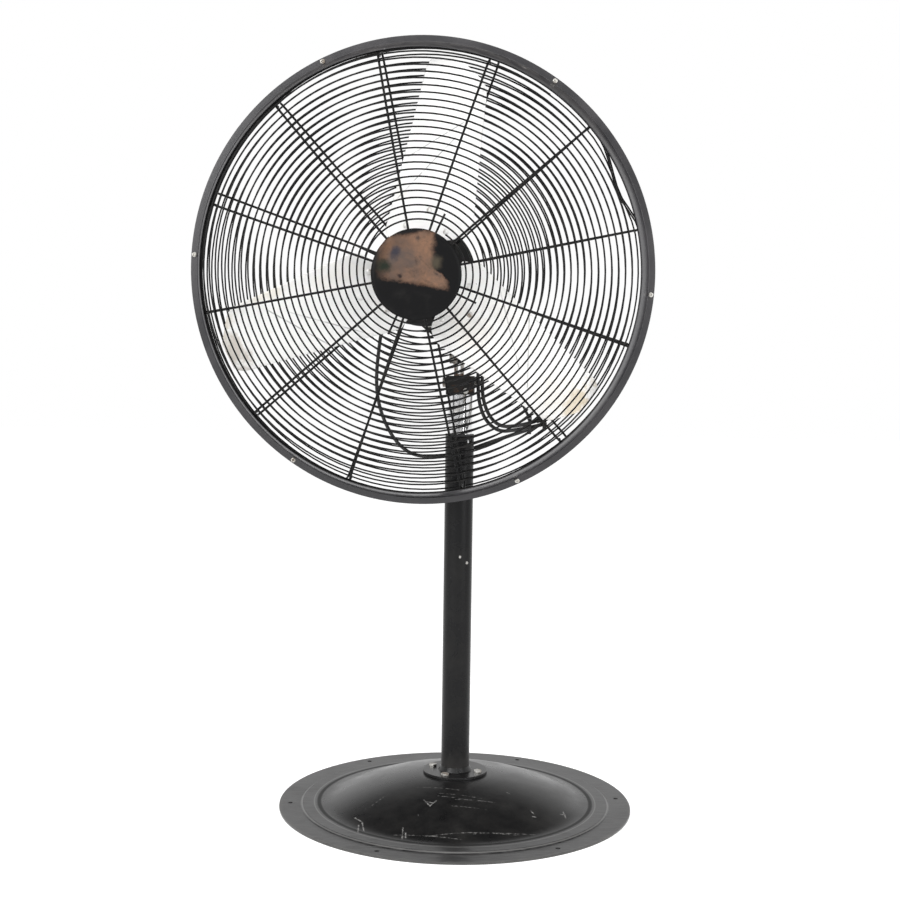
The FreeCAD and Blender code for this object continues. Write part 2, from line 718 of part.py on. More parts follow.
class Meridian:
    # Half the section of a guard: a shallow sphere, a rounded edge, then a wall parallel to the
    # axis. A positive bulge faces forward; offset moves the whole line outwards.
    def __init__(self, reach, bulge, centre, line, bend, offset=0):
        self.bulge, self.centre = bulge, centre
        self.reach, self.line, self.bend = reach + offset, line + offset, bend + offset
        inside = reach - bend
        self.corner = line - bend
        self.edge = math.asin(self.corner / inside)
        self.level = centre + bulge * inside * math.cos(self.edge)

    def on_sphere(self, angle):
        return Vector(self.reach * math.sin(angle), 0,
                      self.centre + self.bulge * self.reach * math.cos(angle))

    def on_edge(self, angle):
        return Vector(self.corner + self.bend * math.sin(angle), 0,
                      self.level + self.bulge * self.bend * math.cos(angle))

    def walk(self, start, length):
        # The point a given length along the line from a start radius.
        first = math.asin(start / self.reach)
        sphere = self.reach * (self.edge - first)
        if length < sphere:
            return self.on_sphere(first + length / self.reach)
        length -= sphere
        rounded = self.bend * (math.pi / 2 - self.edge)
        if length < rounded:
            return self.on_edge(self.edge + length / self.bend)
        return Vector(self.line, 0, self.level - self.bulge * (length - rounded))

    def spoke(self, start, low):
        # One guard spoke along the line, from a start radius to a height on the wall.
        first = math.asin(start / self.reach)
        begin, touch = self.on_sphere(first), self.on_sphere(self.edge)
        turn_end = self.on_edge(math.pi / 2)
        edges = [
            Part.Arc(begin, self.on_sphere((first + self.edge) / 2), touch).toShape(),
            Part.Arc(touch, self.on_edge((self.edge + math.pi / 2) / 2), turn_end).toShape(),
            Part.LineSegment(turn_end, Vector(self.line, 0, low)).toShape(),
        ]
        heading = Vector(math.cos(first), 0, -self.bulge * math.sin(first))
        return wire_solid(edges, number(dims.spoke_wire), begin, heading)


def spiral(rungs, side):
    # Half circles from each (radius, height) rung to the next on the other side of the axis. All
    # of them cross the middle plane squarely, so the chain is smooth. Side 1 winds clockwise.
    edges = []
    up = 1
    for (near, low), (far, high) in zip(rungs, rungs[1:]):
        begin, end = Vector(0, up * near, low), Vector(0, -up * far, high)
        bulge = Vector(side * up * begin.distanceToPoint(end) / 2, 0, 0)
        middle = begin.add(end).multiply(0.5).add(bulge)
        edges.append(Part.Arc(begin, middle, end).toShape())
        up = -up
    first = Vector(0, rungs[0][0], rungs[0][1])
    return wire_solid(edges, number(dims.spiral_wire), first, Vector(side, 0, 0))


def wind(rungs, side, joint, clockwise, inner, outer):
    at = int(number(joint))
    for share, label in ((rungs[:at + 1], inner), (rungs[at:], outer)):
        coil = spiral(share, side)
        coil.Placement = Placement(Vector(), Rotation(Vector(0, 0, 1), -number(clockwise)))
        feature(coil, label, head)


# Each guard has a dozen spokes set by eye, about 30 degrees apart, clockwise from its top.
front_spokes = (17.5, 49, 78, 107.5, 138.5, 168.5, 198, 229.5, 259, 288, 319, 349)
rear_spokes = (19.5, 48, 77.5, 108.5, 137.5, 168, 200, 229.5, 259.5, 291, 320, 349)


def fan_out(solid, rim, angles, label):
    # Copies one spoke to every angle; the rim wire they end on joins them.
    copies = [rim]
    for angle in angles:
        copy = solid.copy()
        copy.Placement = Placement(Vector(), Rotation(Vector(0, 0, 1), 90 - angle))
        copies.append(copy)
    group = doc.addObject("Part::Feature", "Spokes")
    group.Shape = Part.makeCompound(copies)
    return keep(group, label, head)


def feature(shape, label, where=None):
    thing = doc.addObject("Part::Feature", "Shaped")
    thing.Shape = shape
    return keep(thing, label, where)


def make_cage():
    thick = dims.sheet_thick
    band = turned([
        (dims.band_radius, 0), (dims.band_wall_radius, 0), (dims.band_mouth_radius, dims.band_depth),
        (dims.band_mouth_radius - thick, dims.band_depth), (dims.band_wall_radius - thick, thick * -1),
        (dims.band_radius, thick * -1),
    ], "Band")
    phase = 90 - dims.screw_phase
    drill(band, dims.screw_circle, Size(2.2, "2.2"), phase, 6, "Screw")
    keep(band, "guard_band", head)
    screw = joined(cylinder(4, 2.6, z=0.03), cylinder(2, 9, z=-8))
    nut = without(hexagon(3.9, 3, z=thick * -1 - 3.05), cylinder(2.02, 12, z=-10))
    around(grouped(screw, nut), 6, dims.screw_circle, dims.screw_phase, "band_screws", head, True)

    # The front guard's spiral lies on the sphere in even steps of radius, its spokes just inside.
    # Both guards are wound from two lengths of wire, butted end to end after an even half turn.
    layer = number(dims.spoke_wire) + number(dims.spiral_wire) + number(dims.weld_gap)
    step = number(dims.front_pitch) / 2
    reaches = [number(dims.front_start) + i * step for i in range(int(number(dims.front_half_turns)) + 1)]
    rungs = [(r, dome_height(r)) for r in reaches]
    wind(rungs, 1, dims.front_joint, dims.front_phase, "front_guard_spiral", "front_guard_outer_turns")
    curve = number(dims.dome_radius)
    front = Meridian(curve - layer, 1, number(dims.dome_rise) - curve, number(dims.front_line),
                     number(dims.front_bend))
    rim = Part.makeTorus(338.65, 1.6, Vector(0, 0, 42))
    fan_out(front.spoke(50, number(dims.front_end)), rim, front_spokes, "front_guard_spokes")

    # The rear guard's spiral runs over the sphere, round the edge and up the wall.
    back = number(dims.rear_radius)
    section = (back, -1, back - number(dims.rear_depth), number(dims.rear_line), number(dims.rear_bend))
    outer = Meridian(*section, layer)
    step = number(dims.rear_pitch) / 2
    spots = [outer.walk(number(dims.rear_start), i * step)
             for i in range(int(number(dims.rear_half_turns)) + 1)]
    rungs = [(spot.x, spot.z) for spot in spots]
    wind(rungs, -1, dims.rear_joint, dims.rear_phase, "rear_guard_spiral", "rear_guard_outer_turns")
    rim = Part.makeTorus(350.85, 2.8, Vector(0, 0, -4.6))
    fan_out(Meridian(*section).spoke(68, -3.2), rim, rear_spokes, "rear_guard_spokes")

    plate = turned([(26, -61.95), (83, -61.95), (83, -59), (26, -59)], "GuardPlate")
    drill(plate, Size(48, "48"), Size(2.6, "2.6"), Size(45, "45"), 4, "PlateBolt")
    keep(plate, "rear_guard_plate", head)
    bolt = joined(hexagon(5, 3.5, z=-58.97), cylinder(2.5, 16, z=-72))
    around(bolt, 4, Size(48, "48"), Size(45, "45"), "guard_bolts", head)


def make_disc():
    radius, low = dims.disc_radius, dims.disc_back
    disc = turned([
        (0, low), (radius, low), (radius, low + 0.8), (radius - dims.disc_bevel, low + dims.disc_thick),
        (0, low + dims.disc_thick),
    ], "HubDisc")
    keep(disc, "hub_disc", head)
    clamp = turned([(49, 113.4), (62, 113.4), (62, 116.4), (49, 116.4)], "ClampRing")
    drill(clamp, Size(56, "56"), Size(2.5, "2.5"), Size(65, "65"), 4, "Stud")
    keep(clamp, "disc_clamp_ring", head)
    stud = cylinder(2.4, 14, z=107.25)
    nut = without(hexagon(4.6, 3.4, z=109.9), cylinder(2.42, 20, z=100))
    around(grouped(stud, nut), 4, Size(56, "56"), Size(25, "25"), "disc_studs", head, True)
    level = dome_height(78) - number(dims.spiral_wire) - 2.1
    lean = math.degrees(math.asin(78 / number(dims.dome_radius)))
    stub = Part.makeCylinder(1.6, 34, Vector(0, 0, -17), Vector(0, 0, 1))
    stubs = []
    for angle in (25, 115, 205, 295):
        copy = stub.copy()
        spin = Placement(Vector(), Rotation(Vector(0, 0, 1), 90 - angle))
        copy.Placement = spin.multiply(Placement(Vector(81, 0, level), Rotation(Vector(0, 1, 0), 90 + lean)))
        stubs.append(copy)
    group = doc.addObject("Part::Feature", "Stubs")
    group.Shape = Part.makeCompound(stubs)
    keep(group, "disc_tie_wires", head)


# ---- cord ---------------------------------------------------------------------------------

# The mains lead drops from the terminal box past the clamp and swings out to the cage, where it
# is tied at a tight fold. It comes back behind the column, hangs in a loop on the other side and
# climbs to the coil behind the motor.
mains_route = [
    (29.5, 3.2, 844.2), (29.6, 6.4, 798.0), (29.5, 8.2, 760.0), (29.6, 8.6, 724.0),
    (31.0, 7.5, 692.0), (42.0, 0.0, 660.0), (66.0, -28.0, 641.5), (93.0, -67.0, 646.5),
    (116.7, -102.7, 652.6), (141.6, -105.2, 658.9), (141.6, -87.2, 660.2), (114.7, -84.4, 648.3),
    (88.0, -52.0, 637.5), (56.0, -8.0, 624.5), (28.0, 24.0, 612.5), (0.0, 37.5, 601.5),
    (-28.0, 38.5, 595.0), (-60.5, 36.0, 593.5), (-87.0, 34.0, 599.0), (-110.0, 33.0, 618.0),
    (-127.0, 32.0, 645.0), (-139.0, 31.0, 675.0), (-145.0, 30.0, 706.0), (-145.5, 30.0, 740.0),
    (-142.5, 30.5, 773.0), (-138.5, 31.5, 807.0), (-128.0, 36.0, 838.0), (-110.5, 42.0, 862.0),
    (-97.0, 45.5, 883.0), (-93.3, 46.0, 902.0),
]
# The second lead drops beside the first and ends, capped, under the same tie.
spare_route = [
    (36.5, 3.2, 844.2), (36.6, 6.4, 798.0), (36.4, 8.0, 760.0), (36.6, 7.6, 724.0),
    (38.5, 3.0, 693.0), (51.0, -10.0, 664.0), (70.0, -42.0, 650.5), (94.0, -77.0, 653.5),
    (116.2, -105.2, 659.4), (133.7, -105.7, 665.9),
]


def rounded_route(name, points, radius):
    # Straight runs joined by tangent arcs, each as large as its two runs allow.
    points = [Vector(*p) for p in points]
    edges, here, radii = [], points[0], []
    for before, corner, after in zip(points, points[1:], points[2:]):
        back = before.sub(corner)
        ahead = after.sub(corner)
        shorter = min(back.Length, ahead.Length)
        turn = math.pi - back.getAngle(ahead)
        trim = 0.45 * shorter
        radii.append(trim / math.tan(turn / 2))
        begin = corner.add(Vector(back).normalize().multiply(trim))
        end = corner.add(Vector(ahead).normalize().multiply(trim))
        bisector = Vector(back).normalize().add(Vector(ahead).normalize()).normalize()
        depth = radii[-1] / math.cos(turn / 2) - radii[-1]
        edges.append(Part.LineSegment(here, begin).toShape())
        edges.append(Part.Arc(begin, corner.add(bisector.multiply(depth)), end).toShape())
        here = end
    edges.append(Part.LineSegment(here, points[-1]).toShape())
    print(name, "bend radii", " ".join("%.0f" % r for r in radii), "least %.1f" % min(radii))
    print(name, "length %.0f" % Part.Wire(edges).Length)
    return wire_solid(edges, radius, points[0], points[1].sub(points[0]))


def make_cord():
    thick = number(dims.cord_radius)
    feature(rounded_route("power_cord", mains_route, thick), "power_cord")
    feature(rounded_route("spare_lead", spare_route, thick), "spare_lead")
    last, end = Vector(*spare_route[-2]), Vector(*spare_route[-1])
    heading = end.sub(last).normalize()
    cup = without(cylinder(thick + 1.1, 9), cylinder(thick + 0.02, 8, z=-1))
    mouth = end.sub(Vector(heading).multiply(7))
    keep(cup, "lead_cap", Placement(mouth, Rotation(Vector(0, 0, 1), heading)))
    coil = ring(dims.coil_radius, dims.coil_bundle, z=dims.coil_back)
    keep(coil, "cord_coil", head)
    strap = without(
        cylinder(dims.coil_bundle + 1.3, 8, y=dims.coil_radius * -1, z=dims.coil_back, x=-4, turn=along_x),
        cylinder(dims.coil_bundle + 0.1, 20, y=dims.coil_radius * -1, z=dims.coil_back, x=-10, turn=along_x),
    )
    make_ties(without(strap, ring(dims.coil_radius, dims.coil_bundle, z=dims.coil_back)))
    # The moulded plug rests against the back of the coil, its blades pointing across.
    body = joined(
        block(38, 22, 20, x=-22, y=-49, z=-252),
        cylinder(10, 8, x=16, y=-38, z=-242, turn=along_x),
    )
    keep(body, "power_plug", head)
    prongs = [
        block(17, 1.6, 6.4, x=-39, y=-44.8, z=-245.2),
        block(17, 1.6, 6.4, x=-39, y=-32.8, z=-245.2),
        cylinder(2.4, 20, x=-42, y=-38, z=-236, turn=along_x),
    ]
    keep(grouped(*prongs), "plug_prongs", head)


def tie_loop(across, low, high, back, front):
    # A nylon strap drawn round a bundle, flat across the fan frame's X.
    deep, tall = front - back, high - low
    outer = block(4.8, tall, deep, x=across - 2.4, y=low, z=back)
    inner = block(6, tall - 2.6, deep - 2.6, x=across - 3, y=low + 1.3, z=back + 1.3)
    return without(outer, inner)


def make_ties(coil_strap):
    # One strap holds the bundle to a wire of the rear guard, one keeps the leads together and
    # still has its tail, and one closes the coil.
    guard_tie = tie_loop(197.5, -247.3, -232.4, -75.5, -38.5)
    bundle_tie = tie_loop(174, -254.5, -229.5, -79.5, -46.2)
    tail = block(4.8, 27, 1.3, x=-2.4, y=0, z=0)
    tail.Placement = Placement(Vector(174, -231.5, -76), Rotation(Vector(0, 0, 1), 28))
    keep(grouped(guard_tie, joined(bundle_tie, tail), coil_strap), "cable_ties", head)


make_base()
make_column()
make_lock_knob()
make_mast()
make_clamp()
make_clevis()
make_bracket()
make_motor()
make_boxes()
make_rotor()
make_spider()
make_blades()
make_cage()
make_disc()
make_cord()
doc.recompute()

bad = [thing.Label for thing in doc.Objects if "Invalid" in thing.State or "Error" in thing.State]
if bad:
    raise ValueError("objects that did not build: " + ", ".join(bad))
os.makedirs("parts", exist_ok=True)
for thing in nodes:
    shape = thing.Shape
    if shape.isNull() or not shape.isValid() or not shape.Solids:
        raise ValueError("sub-part %s has no valid solid" % thing.Label)
for thing in nodes:
    thing.Shape.exportStep("parts/%s.step" % thing.Label)
    print("%-22s %2d solid(s) %10.0f mm3" % (thing.Label, len(thing.Shape.Solids), thing.Shape.Volume))
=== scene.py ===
import json
import math
import bmesh
import bpy
import numpy as np
from mathutils import Matrix, Vector

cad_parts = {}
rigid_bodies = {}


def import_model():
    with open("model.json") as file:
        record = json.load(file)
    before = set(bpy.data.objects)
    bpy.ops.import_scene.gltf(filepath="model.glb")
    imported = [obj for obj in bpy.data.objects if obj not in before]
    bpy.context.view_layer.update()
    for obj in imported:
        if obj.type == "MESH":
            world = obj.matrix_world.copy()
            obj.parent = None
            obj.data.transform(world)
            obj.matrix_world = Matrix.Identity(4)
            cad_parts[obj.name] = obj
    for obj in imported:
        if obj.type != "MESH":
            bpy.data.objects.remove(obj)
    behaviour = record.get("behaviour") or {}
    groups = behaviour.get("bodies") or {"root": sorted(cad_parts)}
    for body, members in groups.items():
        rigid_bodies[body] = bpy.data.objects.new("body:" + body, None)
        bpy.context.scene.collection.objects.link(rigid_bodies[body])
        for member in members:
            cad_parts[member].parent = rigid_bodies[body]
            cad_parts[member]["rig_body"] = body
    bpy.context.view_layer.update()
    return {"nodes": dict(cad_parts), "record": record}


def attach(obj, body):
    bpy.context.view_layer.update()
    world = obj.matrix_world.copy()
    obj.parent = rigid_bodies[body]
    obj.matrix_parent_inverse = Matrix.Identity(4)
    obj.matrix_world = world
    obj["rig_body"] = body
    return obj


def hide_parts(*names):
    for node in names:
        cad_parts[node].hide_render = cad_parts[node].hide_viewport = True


# A worn workshop pedestal fan, in metres, +Z up, with the cage facing -Y
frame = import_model()
scene = bpy.context.scene
mm = 0.001
print("frame loaded with", len(frame["nodes"]), "nodes")

# Where the camera stands: metres, and degrees of turn, dip and roll
view = dict(place=(0.0812, -2.3226, 0.741), turn=2.4, dip=3.27, roll=0.78, lens=54.84, sensor=36)


def aimCamera():
    turn, dip, roll = (math.radians(view[name]) for name in ("turn", "dip", "roll"))
    ahead = Vector((-math.sin(turn) * math.cos(dip), math.cos(turn) * math.cos(dip), -math.sin(dip)))
    right = ahead.cross(Vector((0, 0, 1))).normalized()
    up = right.cross(ahead)
    across = right * math.cos(roll) + up * math.sin(roll)
    above = up * math.cos(roll) - right * math.sin(roll)
    lens = bpy.data.cameras.new("studioCamera")
    lens.lens, lens.sensor_width = view["lens"], view["sensor"]
    camera = bpy.data.objects.new("studioCamera", lens)
    turned = Matrix((across, above, -ahead)).transposed().to_4x4()
    turned.translation = view["place"]
    camera.matrix_world = turned
    scene.collection.objects.link(camera)
    scene.camera = camera


aimCamera()

# The fan frame, tilted with the head: x across, y up, z forward along the blade axis
tilt = math.radians(4)
fanAxes = np.array([[1, 0, 0], [0, -math.sin(tilt), math.cos(tilt)], [0, -math.cos(tilt), -math.sin(tilt)]])
fanOrigin = np.array([-57.3, -172.6, 892.0])  # in mm


def onHead(points):
    # fan frame millimetres to metres: origin + x X + y Y + z Z
    return (fanOrigin + np.asarray(points, float) @ fanAxes) * mm


class Shell:
    # points and faces gathered from several grids, in metres
    def __init__(self):
        self.points, self.faces, self.uvs, self.count = [], [], [], 0

    def add(self, points, faces, uv=None):
        points = np.asarray(points, float).reshape(-1, 3)
        self.points.append(points)
        self.uvs.append(np.zeros((len(points), 2)) if uv is None else np.asarray(uv).reshape(-1, 2))
        self.faces += [[int(corner) + self.count for corner in face] for face in faces]
        self.count += len(points)

    def grid(self, points, wrapRows=False, wrapColumns=False, caps=False, uv=None):
        # quad (i, j), (i, j + 1), (i + 1, j + 1), (i + 1, j) over rows i and columns j
        rows, columns = points.shape[:2]
        i = np.arange(rows if wrapRows else rows - 1)[:, None]
        j = np.arange(columns if wrapColumns else columns - 1)[None, :]
        below, beside = (i + 1) % rows, (j + 1) % columns
        corners = (i * columns + j, i * columns + beside, below * columns + beside, below * columns + j)
        quads = np.stack([np.broadcast_to(c, (i.size, j.size)).ravel() for c in corners], axis=1).tolist()
        if caps:
            quads += [list(range(columns))[::-1], list(range((rows - 1) * columns, rows * columns))]
        self.add(points, quads, uv)

    def piece(self, name, material, body, nodes=(), slot=None, sharp=40, uvName=None):
        mesh = bpy.data.meshes.new(name)
        mesh.from_pydata(np.concatenate(self.points).tolist(), [], self.faces)
        if uvName:
            corner = np.zeros(len(mesh.loops), np.int32)
            mesh.loops.foreach_get("vertex_index", corner)
            layer = mesh.uv_layers.new(name=uvName)
            layer.data.foreach_set("uv", np.concatenate(self.uvs)[corner].ravel())
        work = bmesh.new()
        work.from_mesh(mesh)
        bmesh.ops.remove_doubles(work, verts=work.verts, dist=2e-6)
        bmesh.ops.recalc_face_normals(work, faces=work.faces)
        work.to_mesh(mesh)
        work.free()
        return settle(name, mesh, material, body, nodes, sharp)


def settle(name, mesh, material, body, nodes, sharp):
    mesh.polygons.foreach_set("use_smooth", np.ones(len(mesh.polygons), bool))
    mesh.set_sharp_from_angle(angle=math.radians(sharp))
    mesh.materials.clear()
    mesh.materials.append(material)
    made = bpy.data.objects.new(name, mesh)
    scene.collection.objects.link(made)
    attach(made, body)
    if nodes:
        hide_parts(*nodes)
    return made


def sweptTube(path, radius, sides, reference, wrap=False):
    # a ring at each path point: point + radius (cos a side + sin a up), side being the reference
    # made square to the path
    path = np.asarray(path, float)
    ahead = np.roll(path, -1, 0) - np.roll(path, 1, 0) if wrap else np.gradient(path, axis=0)
    ahead /= np.linalg.norm(ahead, axis=1, keepdims=True)
    side = np.broadcast_to(np.asarray(reference, float), path.shape)
    side = side - (side * ahead).sum(1, keepdims=True) * ahead
    side /= np.linalg.norm(side, axis=1, keepdims=True)
    up = np.cross(ahead, side)
    angle = np.linspace(0, 2 * math.pi, sides, endpoint=False)[None, :, None]
    ring = np.cos(angle) * side[:, None, :] + np.sin(angle) * up[:, None, :]
    return path[:, None, :] + np.broadcast_to(radius, len(path))[:, None, None] * ring


def lathed(profile, steps=96):
    # (radius, height) points turned about the blade axis: (r sin a, r cos a, h)
    profile = np.asarray(profile, float)
    angle = np.linspace(0, 2 * math.pi, steps, endpoint=False)[None, :]
    radius, height = profile[:, 0][:, None], profile[:, 1][:, None]
    return np.stack([radius * np.sin(angle), radius * np.cos(angle), height + 0 * angle], axis=2)


def softened(profile, radius, steps=3):
    # each corner of a closed profile cut back and bridged by a quadratic curve
    here = np.asarray(profile, float)
    before, after = np.roll(here, 1, 0) - here, np.roll(here, -1, 0) - here
    longBefore = np.linalg.norm(before, axis=1, keepdims=True)
    longAfter = np.linalg.norm(after, axis=1, keepdims=True)
    cut = np.minimum(radius, 0.45 * np.minimum(longBefore, longAfter))
    start, end = here + before / longBefore * cut, here + after / longAfter * cut
    t = np.linspace(0, 1, steps + 1)[None, :, None]
    bridge = (1 - t) ** 2 * start[:, None] + 2 * t * (1 - t) * here[:, None] + t ** 2 * end[:, None]
    return bridge.reshape(-1, 2)


def spunAbout(points, clockwise):
    # fan frame points turned clockwise about the blade axis, in degrees, seen from the front
    a = np.radians(np.asarray(clockwise, float))
    x, y, z = points[..., 0], points[..., 1], points[..., 2]
    return np.stack([x * np.cos(a) + y * np.sin(a), y * np.cos(a) - x * np.sin(a), z], axis=-1)


def refined(node, material, bevel=0.5, sharp=33, segments=2):
    # a merged copy of the made part with its sharp edges eased
    source = frame["nodes"][node]
    mesh = source.data.copy()
    work = bmesh.new()
    work.from_mesh(mesh)
    bmesh.ops.remove_doubles(work, verts=work.verts, dist=1e-5)
    bmesh.ops.dissolve_limit(work, angle_limit=math.radians(0.5), verts=work.verts, edges=work.edges)
    work.to_mesh(mesh)
    work.free()
    if "custom_normal" in mesh.attributes:
        mesh.attributes.remove(mesh.attributes["custom_normal"])
    piece = settle(node + "Worked", mesh, material, source["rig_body"], (node,), sharp)
    eased = piece.modifiers.new("easedEdges", "BEVEL")
    eased.width, eased.segments = bevel * mm, segments
    eased.limit_method, eased.angle_limit = "ANGLE", math.radians(sharp)
    eased.harden_normals = True
    return piece


class Wiring:
    # shorthand for laying nodes in one tree
    def __init__(self, tree):
        self.tree = tree

    def feed(self, socket, value):
        if isinstance(value, bpy.types.Node):
            value = value.outputs[0]
        if isinstance(value, bpy.types.NodeSocket):
            self.tree.links.new(value, socket)
        else:
            socket.default_value = value

    def node(self, kind, sockets=None, **settings):
        made = self.tree.nodes.new("ShaderNode" + kind)
        for name, value in settings.items():
            setattr(made, name, value)
        for name, value in (sockets or {}).items():
            self.feed(made.inputs[name], value)
        return made

    def maths(self, operation, *values):
        made = self.node("Math", operation=operation)
        for socket, value in zip(made.inputs, values):
            self.feed(socket, value)
        return made.outputs[0]

    def times(self, first, second):
        return self.maths("MULTIPLY", first, second)

    def plus(self, first, second):
        return self.maths("ADD", first, second)

    def minus(self, first, second):
        return self.maths("SUBTRACT", first, second)

    def scaled(self, value, factor, offset):
        return self.maths("MULTIPLY_ADD", value, factor, offset)

    def vector(self, operation, *values):
        made = self.node("VectorMath", operation=operation)
        for socket, value in zip(made.inputs, values):
            self.feed(socket, value)
        single = operation in ("DISTANCE", "LENGTH", "DOT_PRODUCT")
        return made.outputs["Value" if single else 0]

    def ramp(self, value, low, high, bottom=0.0, top=1.0):
        made = self.node("MapRange", {"Value": value, "From Min": low, "From Max": high,
                                      "To Min": bottom, "To Max": top})
        made.interpolation_type = "SMOOTHSTEP"
        return made.outputs[0]

    def noise(self, vector, scale, detail=4.0, roughness=0.55, distortion=0.0):
        made = self.node("TexNoise", {"Vector": vector, "Scale": scale, "Detail": detail,
                                      "Roughness": roughness, "Distortion": distortion})
        return made.outputs["Fac"]

    def blend(self, mask, first, second):
        made = self.node("Mix", data_type="RGBA")
        for socket, value in ((made.inputs[0], mask), (made.inputs[6], first), (made.inputs[7], second)):
            self.feed(socket, value)
        return made.outputs[2]


def sharedGroup(name, inputs, outputs):
    tree = bpy.data.node_groups.new(name, "ShaderNodeTree")
    for label, kind, value in inputs:
        socket = tree.interface.new_socket(label, in_out="INPUT", socket_type="NodeSocket" + kind)
        if value is not None:
            socket.default_value = value
    for label in outputs:
        tree.interface.new_socket(label, in_out="OUTPUT", socket_type="NodeSocketFloat")
    return Wiring(tree), tree.nodes.new("NodeGroupInput"), tree.nodes.new("NodeGroupOutput")


def makeGroups():
    groups = {}
    # broad cloudy grime
    w, given, out = sharedGroup("grimeCloud", [("Vector", "Vector", None), ("Scale", "Float", 10.0),
                                               ("Level", "Float", 0.55), ("Soft", "Float", 0.1)], ["Mask"])
    cloud = w.noise(given.outputs["Vector"], given.outputs["Scale"], 7.0, 0.62, 0.35)
    low = w.minus(given.outputs["Level"], given.outputs["Soft"])
    high = w.plus(given.outputs["Level"], given.outputs["Soft"])
    w.feed(out.inputs["Mask"], w.ramp(cloud, low, high))
    groups["grimeCloud"] = w.tree
    # small chips: cells of a ragged Voronoi whose own random number lets them open
    w, given, out = sharedGroup("paintChips", [("Vector", "Vector", None), ("Scale", "Float", 40.0),
                                               ("Size", "Float", 0.3), ("Rare", "Float", 0.7)], ["Mask"])
    ragged = w.node("TexNoise", {"Vector": given.outputs["Vector"], "Scale": 260.0, "Detail": 3.0})
    shift = w.vector("SCALE", ragged.outputs["Color"])
    w.feed(shift.node.inputs["Scale"], 0.006)
    moved = w.vector("ADD", given.outputs["Vector"], shift)
    cells = w.node("TexVoronoi", {"Vector": moved, "Scale": given.outputs["Scale"]})
    pick = w.node("SeparateColor", {"Color": cells.outputs["Color"]})
    opened = w.maths("GREATER_THAN", pick.outputs[0], given.outputs["Rare"])
    reach = w.times(w.times(pick.outputs[1], given.outputs["Size"]), opened)
    w.feed(out.inputs["Mask"], w.ramp(w.minus(reach, cells.outputs["Distance"]), 0.0, 0.04))
    groups["paintChips"] = w.tree
    # fine scratches: noise drawn out along one direction, twice
    w, given, out = sharedGroup("hairScratches", [("Vector", "Vector", None), ("Scale", "Float", 120.0),
                                                  ("Amount", "Float", 0.3)], ["Mask"])
    lines = []
    for turn in ((0.3, 0.5, 0.4), (1.1, -0.3, 1.4)):
        drawn = w.node("Mapping", {"Vector": given.outputs["Vector"], "Rotation": turn,
                                   "Scale": (1.0, 0.035, 1.0)})
        lines.append(w.noise(drawn, given.outputs["Scale"], 2.0, 0.5))
    crest = w.maths("MAXIMUM", *lines)
    cut = w.minus(0.78, w.times(given.outputs["Amount"], 0.2))
    w.feed(out.inputs["Mask"], w.ramp(crest, cut, w.plus(cut, 0.05)))
    groups["hairScratches"] = w.tree
    # dust lying on whatever faces up
    w, given, out = sharedGroup("settledDust", [("Vector", "Vector", None), ("Normal", "Vector", None),
                                                ("Amount", "Float", 0.5)], ["Mask"])
    upward = w.node("SeparateXYZ", {"Vector": given.outputs["Normal"]}).outputs["Z"]
    patch = w.noise(given.outputs["Vector"], 34.0, 6.0, 0.65)
    lying = w.times(w.ramp(upward, 0.15, 0.95), w.ramp(patch, 0.3, 0.72))
    w.feed(out.inputs["Mask"], w.times(lying, given.outputs["Amount"]))
    groups["settledDust"] = w.tree
    # the faint orange peel of sprayed enamel and cast grain
    w, given, out = sharedGroup("sprayedGrain", [("Vector", "Vector", None), ("Scale", "Float", 500.0)],
                                ["Height"])
    coarse = w.noise(given.outputs["Vector"], given.outputs["Scale"], 2.0, 0.5)
    fine = w.noise(given.outputs["Vector"], w.times(given.outputs["Scale"], 4.0), 2.0, 0.6)
    w.feed(out.inputs["Height"], w.scaled(fine, 0.35, coarse))
    groups["sprayedGrain"] = w.tree
    return groups


groups = makeGroups()


